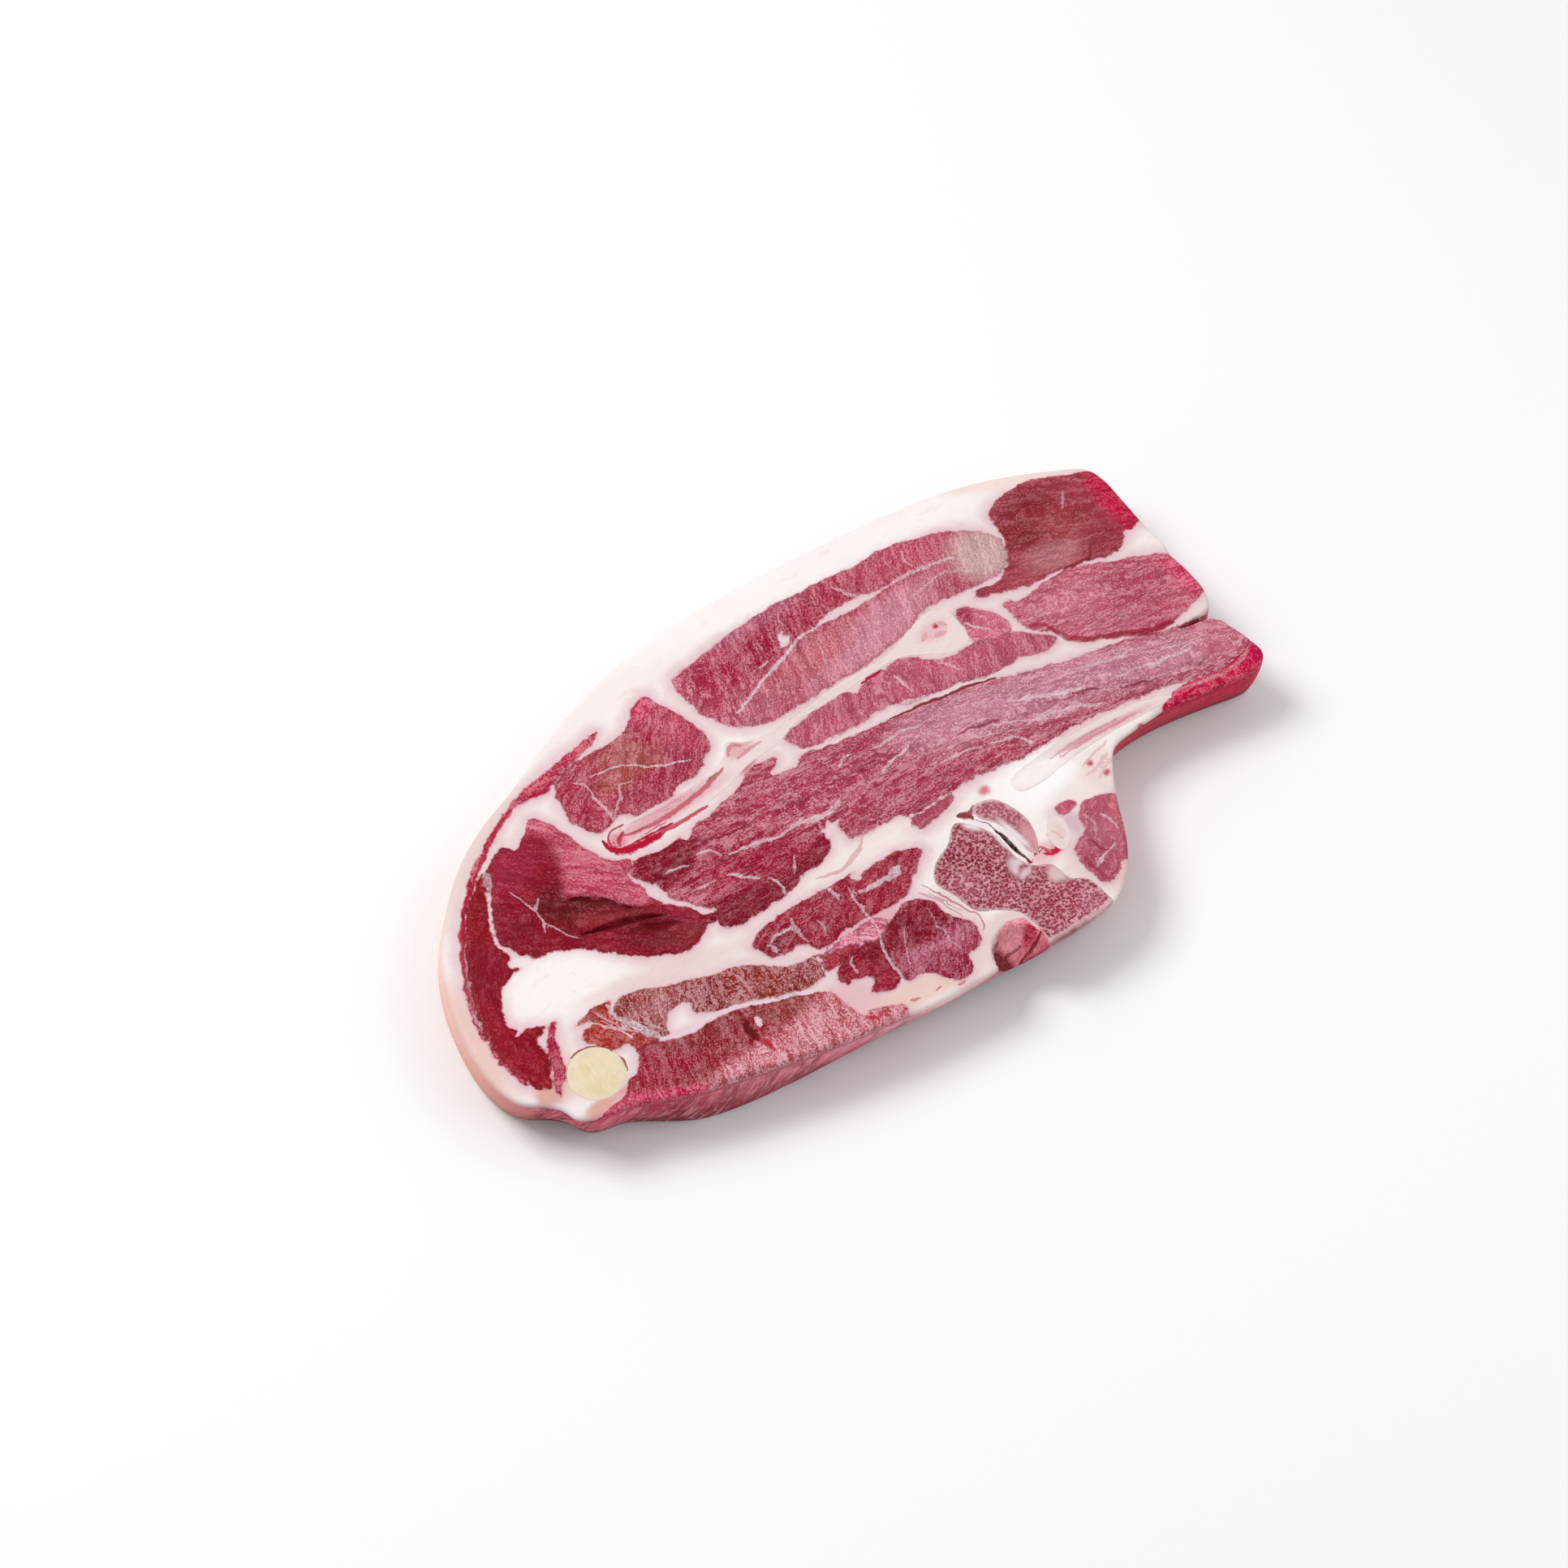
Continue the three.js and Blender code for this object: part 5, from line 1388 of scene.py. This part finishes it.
def with_wall(g, grain, colour):
    """A colour with the thin membrane inside the ribs, its painted fold shade and sheen, and the streaks
    down the rind over it.
    """
    silver = g.field("silver")
    # Darker streaks on the membrane: painted shade of folds that the mesh doesn't have
    fold_shade = g.ramp(g.noise(g.scale(grain, (0.7, 0.14, 1)), 2.2), 0.54, 0.38)
    colour = g.mix(0.55 * fold_shade * silver, colour, WALL_GAIN * pigment("wall_fold_shade"))
    # Pale streaks on the membrane: partly its own silvery colour, partly painted sheen
    sheen = g.noise(g.scale(grain, (1.0, 0.18, 1)), 1.0, detail=3, roughness=0.6, distortion=0.3)
    sheen = g.ramp(sheen, 0.46, 0.66)
    colour = g.mix(0.55 * sheen * silver, colour, WALL_GAIN * pigment("wall_sheen"))
    streak = g.noise(g.scale(grain, (1.0, 0.2, 1)), 1.3, detail=3, roughness=0.6, distortion=0.3)
    streak = g.ramp(streak, 0.42, 0.7)
    return g.mix(0.24 * streak * g.field("rind"), colour, WALL_GAIN * pigment("rind_streak"))


def flesh_material():
    """Lean and fat, whose border wanders a little, with their lines and the wall's pattern."""
    g = Graph("flesh_look")
    spot = g.place()
    grain = g.field("grain", "Vector")
    textures = meat_textures(g, spot, grain)
    fibres, _, bundles, salt = textures
    wander = g.noise(spot, 0.9, detail=3, roughness=0.65) - 0.5
    border = 4.0 * wander * g.field("ragged") + g.field("lean")
    is_lean = g.ramp(border, -0.16, 0.2)
    colour = g.mix(is_lean, fat_look(g, spot), lean_look(g, spot, grain, textures))
    blush = g.ramp(border, -0.7, -0.1) * g.ramp(border, 0.2, 0.0)
    colour = g.mix(0.3 * blush, colour, pigment("border_blush"))
    colour = with_wall(g, grain, with_lines(g, spot, colour, textures))
    height = is_lean * (fibres + 0.6 * bundles) + salt * (0.35 * is_lean + 0.08)
    g.bump(height + 0.35 * g.noise(spot, 3.5, detail=3), 0.6, 0.25 * MM)
    return g.finish(colour, 0.12 * (salt - 0.5) - 0.08 * is_lean + 0.52, coat=0.02, scatter=0.04)


def bone_material():
    """Streaked compact bone with pores where it holds marrow."""
    g = Graph("bone_look")
    spot = g.place()
    streaks = g.noise(g.scale(spot, (0.3, 1, 1)), 0.7, detail=3)
    pores = g.ramp(g.noise(spot, 0.45), 0.6, 0.72)
    colour = g.brighten(g.field("tint", "Color"), 0.16 * streaks + 0.92)
    colour = g.mix(0.7 * pores * g.field("marrow"), colour, pigment("pore"))
    line = g.ramp(g.length("line") + 0.8 * g.noise(spot, 0.7) - 0.4, 1.3, 0.5)
    colour = g.mix(line * g.field("line_power"), colour, g.field("line_tint", "Color"))
    g.bump(0.5 * streaks + pores, 0.3, 0.2 * MM)
    return g.finish(colour, 0.42, coat=0.1, scatter=0.06)


def spongy_material():
    """Spongy bone: pale thin walls round dark marrow, smooth cartilage, and a smooth band of painted shade
    along the vertebra's foot.
    """
    g = Graph("spongy_bone_look")
    spot = g.place()
    tint = g.field("tint", "Color")
    gristle = g.field("gristle")
    wobble = g.noise(spot, 1 / 1.1, roughness=0.5, output="Color")
    bent = g.vector_math("MULTIPLY_ADD", "Vector", wobble, (0.9, 0.9, 0.9), spot)
    holes = g.ramp(g.cells(bent, 0.66), 0.72, 0.34)
    grit = g.ramp(g.noise(spot, 0.5, roughness=0.7), 0.36, 0.64)
    patchy = g.ramp(g.noise(spot, 3.2), 0.36, 0.64)
    walls = g.clamped(0.6 * grit + 0.62 - holes) * (0.4 * patchy + 0.6)
    marrow = g.brighten(tint, 0.5 * g.ramp(g.noise(spot, 1.1, detail=3), 0.32, 0.68) + 0.7)
    colour = g.mix(walls, marrow, pigment("bone_wall"))
    rim = g.ramp(1.6 * g.noise(spot, 0.8) + g.field("depth"), 1.5, 0.9)
    colour = g.mix(0.6 * rim, colour, pigment("bone_rim"))
    colour = g.mix(gristle, colour, tint)
    g.bump(walls * (1.0 - gristle), 0.5, 0.3 * MM)
    return g.finish(colour, 0.4, coat=0.12, scatter=0.05)


def cartilage_material():
    """Pale yellow cartilage with fine lines, whiter at its rim."""
    g = Graph("cartilage_look")
    spot = g.place()
    lines = g.noise(g.scale(spot, (2.2, 0.12, 1)), 1.0)
    colour = g.mix(g.ramp(g.noise(spot, 3.5), 0.35, 0.65), pigment("ivory"), pigment("straw"))
    colour = g.mix(0.25 * g.ramp(lines, 0.5, 0.62), colour, pigment("gold"))
    colour = g.mix(0.5 * g.ramp(g.field("depth"), 2.2, 0.2), colour, pigment("ivory_rim"))
    g.bump(lines, 0.2, 0.2 * MM)
    return g.finish(colour, 0.34, coat=0.2, scatter=0.15)


def flesh_heights():
    """Heights of the wall's rings from the face down, closest together at its two rounded edges."""
    rim = [FAT_TOP - drop for drop in (0.0, 0.12, 0.35, 0.7, 1.1, 1.7)]
    return np.array([*rim, *np.linspace(FAT_TOP - 2.5, 1.3, 15), 0.7, 0.3, 0.08, 0.0])


def flesh_rings(body, notch, heights):
    """Rings of x, y, z and time, each of equally many points, that leave out the vertebra's notch."""
    notch_count = None
    rings = []
    for z in heights:
        outer, _, edge = split(body.ring(z, FAT_TOP), notch)
        notch_count = notch_count or int(path_length(edge) / 0.7)
        ring = np.vstack([even(outer, body.count - 20), even(edge, notch_count)[1:-1]])
        rings.append(np.column_stack([raised(ring[:, :2], z), ring[:, 2]]))
    return np.array(rings)


def sink_wall(rings, heights, relief):
    """Starts the wall lower and further in where the face dips at the edge."""
    ladder = heights[::-1]
    top = rings[0, :, :3].copy()
    for _ in range(4):
        top[:, 2] = relief.height(top[:, :2])
        for i in np.flatnonzero(top[:, 2] < FAT_TOP - 1):
            for axis in (0, 1):
                top[i, axis] = np.interp(top[i, 2], ladder, rings[::-1, i, axis])
    for i, squeeze in enumerate(top[:, 2] / FAT_TOP):
        wanted = heights * squeeze
        if squeeze < 0.95:
            for axis in (0, 1):
                rings[:, i, axis] = np.interp(wanted, ladder, rings[::-1, i, axis])
        rings[:, i, 2] = wanted
    rings[0, :, :3] = top


def add_bore(shell, relief, loop, lean):
    """A bone's hole through the flesh, and its rings in the cut face and in the underside."""
    crown = raised(loop, relief.height(loop))
    upper = shell.add(crown)
    middle = shell.add(raised(loop + lean * 0.5, crown[:, 2] * 0.5))
    lower = shell.add(raised(loop + lean, 0))
    shell.wall([lower, middle, upper])
    return upper, lower


def make_flesh(body, muscles, holes, notch):
    """The flesh as one closed surface with a hole through it for each bone."""
    relief = Relief(muscles, [loop for loop, _ in holes] + [notch])
    heights = flesh_heights()
    rings = flesh_rings(body, notch, heights)
    sink_wall(rings, heights, relief)
    shell = Shell()
    ids = [shell.add(ring[:, :3], ring[:, 3]) for ring in rings]
    # The first and the last ring show the pattern of the two faces
    shell.times[0] = shell.times[-1] = np.full(len(ids[0]), NO_TIME)
    shell.wall(ids)
    bores = [add_bore(shell, relief, loop, lean) for loop, lean in holes]
    inner = filling(rings[0, :, :2], [loop for loop, _ in holes], FINE_STEP, relief.extra_points())
    inner_ids = shell.add(raised(inner, relief.height(inner)))
    shell.lid([ids[0], *[upper for upper, _ in bores]], inner_ids, up=True)
    low = filling(rings[-1, :, :2], [loop + lean for loop, lean in holes], COARSE_STEP)
    shell.lid([ids[-1], *[lower for _, lower in bores]], shell.add(raised(low, 0)), up=False)
    data, points = shell.mesh("flesh_look")
    store(data, paint_flesh(points, np.concatenate(shell.times), muscles, body))
    return data


def tissue(plan, target):
    """Where a bone shows a tissue that BONE_TINTS names."""
    found = np.zeros(len(plan))
    for name, centre, radii, turn, _, strength in BONE_TINTS:
        if name == target:
            found = np.maximum(found, strength * in_spot(plan, centre, radii, turn))
    return found


def make_bone(name, rings, kind, base):
    """A sawn bone through stacked rings of x, y, z, from the top one down."""
    shell = Shell()
    ids = [shell.add(ring) for ring in rings]
    shell.wall(ids)
    outline = rings[0][:, :2]
    inner = filling(outline, [], BONE_STEP)
    flat = raised(inner, 0)
    rise = 0.05 * ripple(flat, 2.5, 41) + 0.04 * ripple(flat, 0.9, 47)
    if kind == "cartilage":
        rise = 0.25 * smooth(0, 5, depth_in(outline, inner))
    shell.lid([ids[0]], shell.add(raised(inner, rings[0][:, 2].max() + rise)), up=True)
    shell.lid([ids[-1]], shell.add(raised(filling(rings[-1][:, :2], [], 1.6), 0)), up=False)
    data, points = shell.mesh(name)
    plan = wandering(points[:, :2], 0.3, 1.3, 17)
    tint = np.tile(pigment(base), (len(points), 1))
    line, line_power, line_tint = lines_near(plan, BONE_LINES)
    store(data, {
        "tint": spots_on(plan, tint, [row[1:] for row in BONE_TINTS if row[0].split()[0] == kind]),
        "depth": depth_in(outline, plan), "gristle": tissue(plan, kind + " gristle"),
        "marrow": tissue(plan, kind + " marrow"),
        "line": line, "line_power": line_power, "line_tint": line_tint,
    })
    return data


def straight_rings(loop, lean):
    """Rings of a bone with straight sides, its foot shifted by its lean."""
    heights = [BONE_TOP, BONE_TOP - 0.04, BONE_TOP - 0.4, BONE_TOP * 0.5, 0.0]
    insets = [0.28, 0.06, 0.0, 0.0, 0.0]
    return [np.column_stack([grow(loop, -inset) + lean * (1 - z / BONE_TOP), np.full(len(loop), z)])
            for z, inset in zip(heights, insets)]


def vertebra_rings(body, outline):
    """The vertebra reaches the slice's side, so its rings follow the wall there."""
    heights = [BONE_TOP, BONE_TOP - 0.12, BONE_TOP - 0.4, BONE_TOP - 1, 13, 11, 9, 7, 5, 3, 1.5, 0.6, 0.2, 0]
    rings = []
    counts = None
    for z in heights:
        _, within, edge = split(body.ring(min(z, BONE_TOP), BONE_TOP), outline)
        counts = counts or (int(path_length(within) / 0.5), int(path_length(edge) / 0.5))
        front = even(within, counts[0])
        back = even(edge, counts[1])[::-1]
        loop = np.vstack([front[:, :2], back[1:-1, :2]])
        rings.append(np.column_stack([anticlockwise(loop), np.full(len(loop), z)]))
    return rings


def add_piece(node, data, material):
    """A finished piece that takes the place of its CAD node."""
    piece = bpy.data.objects.new(node + "_look", data)
    bpy.context.scene.collection.objects.link(piece)
    data.materials.append(material)
    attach(piece, "root")
    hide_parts(node)


def build_slice():
    """All pieces of the slice, each laid over its own solid."""
    body = Body()
    muscles = Muscles()
    loops = {name: loop_of(outline, step) for name, (outline, step, _, _) in BONES.items()}
    leans = {name: np.array(LEANS.get(name, (0, 0)), float) for name in BONES}
    openings = {name: shrunk(loop, HOLE_INSET) for name, loop in loops.items()}
    notch = openings.pop("vertebra")
    holes = [(loop, leans[name]) for name, loop in openings.items()]
    add_piece("flesh", make_flesh(body, muscles, holes, notch), flesh_material())
    looks = {"bone": bone_material(), "spongy": spongy_material(), "cartilage": cartilage_material()}
    for name, (_, _, kind, base) in BONES.items():
        wide = grow(loops[name], BONE_OVERLAP)
        rings = vertebra_rings(body, wide) if name == "vertebra" else straight_rings(wide, leans[name])
        add_piece(name, make_bone(name + "_look", rings, kind, base), looks[kind])


def add_stage():
    """A pale floor of plain cloth."""
    bpy.ops.mesh.primitive_plane_add(size=6)
    floor = bpy.context.object
    floor.name = "floor"
    g = Graph("floor_look")
    cloth = g.noise(g.place(), 900, detail=1)
    g.put(g.shader.inputs["Base Color"], g.mix(cloth, (0.74, 0.74, 0.745), (0.78, 0.78, 0.785)))
    g.shader.inputs["Roughness"].default_value = 0.7
    floor.data.materials.append(g.material)


def add_light(name, spot, target, size, power):
    data = bpy.data.lights.new(name, "AREA")
    data.size = size
    data.energy = power
    light = bpy.data.objects.new(name, data)
    light.location = spot
    light.rotation_euler = (Vector(target) - Vector(spot)).to_track_quat("-Z", "Y").to_euler()
    bpy.context.scene.collection.objects.link(light)


def add_lights():
    world = bpy.data.worlds.new("studio")
    world.use_nodes = True
    background = world.node_tree.nodes["Background"]
    background.inputs["Color"].default_value = (1, 1, 1, 1)
    background.inputs["Strength"].default_value = 0.55
    bpy.context.scene.world = world
    add_light("key", (-0.35, 0.55, 0.9), (0, 0, 0), 0.5, 9)
    add_light("fill", (0.6, -0.5, 0.7), (0, 0, 0), 0.9, 4)
    bpy.context.scene.view_settings.view_transform = "Standard"


def add_camera():
    """The camera of the photo, to the front left and 60 degrees up."""
    azimuth, elevation = math.radians(-33), math.radians(60)
    level = math.cos(elevation)
    back = Vector((math.sin(azimuth) * level, -math.cos(azimuth) * level, math.sin(elevation)))
    target = Vector((*(place((-7.9, 7.5)) * MM), THICKNESS * MM))
    distance = 0.85
    data = bpy.data.cameras.new("camera")
    data.lens = 87
    data.sensor_width = 36
    data.clip_start, data.clip_end = 0.05, 20
    camera = bpy.data.objects.new("camera", data)
    camera.location = target + back * distance
    camera.rotation_mode = "QUATERNION"
    camera.rotation_quaternion = back.to_track_quat("Z", "Y")
    bpy.context.scene.collection.objects.link(camera)
    bpy.context.scene.camera = camera


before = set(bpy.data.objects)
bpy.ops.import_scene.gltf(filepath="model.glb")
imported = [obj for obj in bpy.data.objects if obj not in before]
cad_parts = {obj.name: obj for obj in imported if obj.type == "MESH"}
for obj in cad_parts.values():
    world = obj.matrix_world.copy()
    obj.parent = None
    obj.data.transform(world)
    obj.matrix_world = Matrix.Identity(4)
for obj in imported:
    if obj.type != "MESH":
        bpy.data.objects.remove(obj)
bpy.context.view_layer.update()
build_slice()
add_stage()
add_lights()
add_camera()
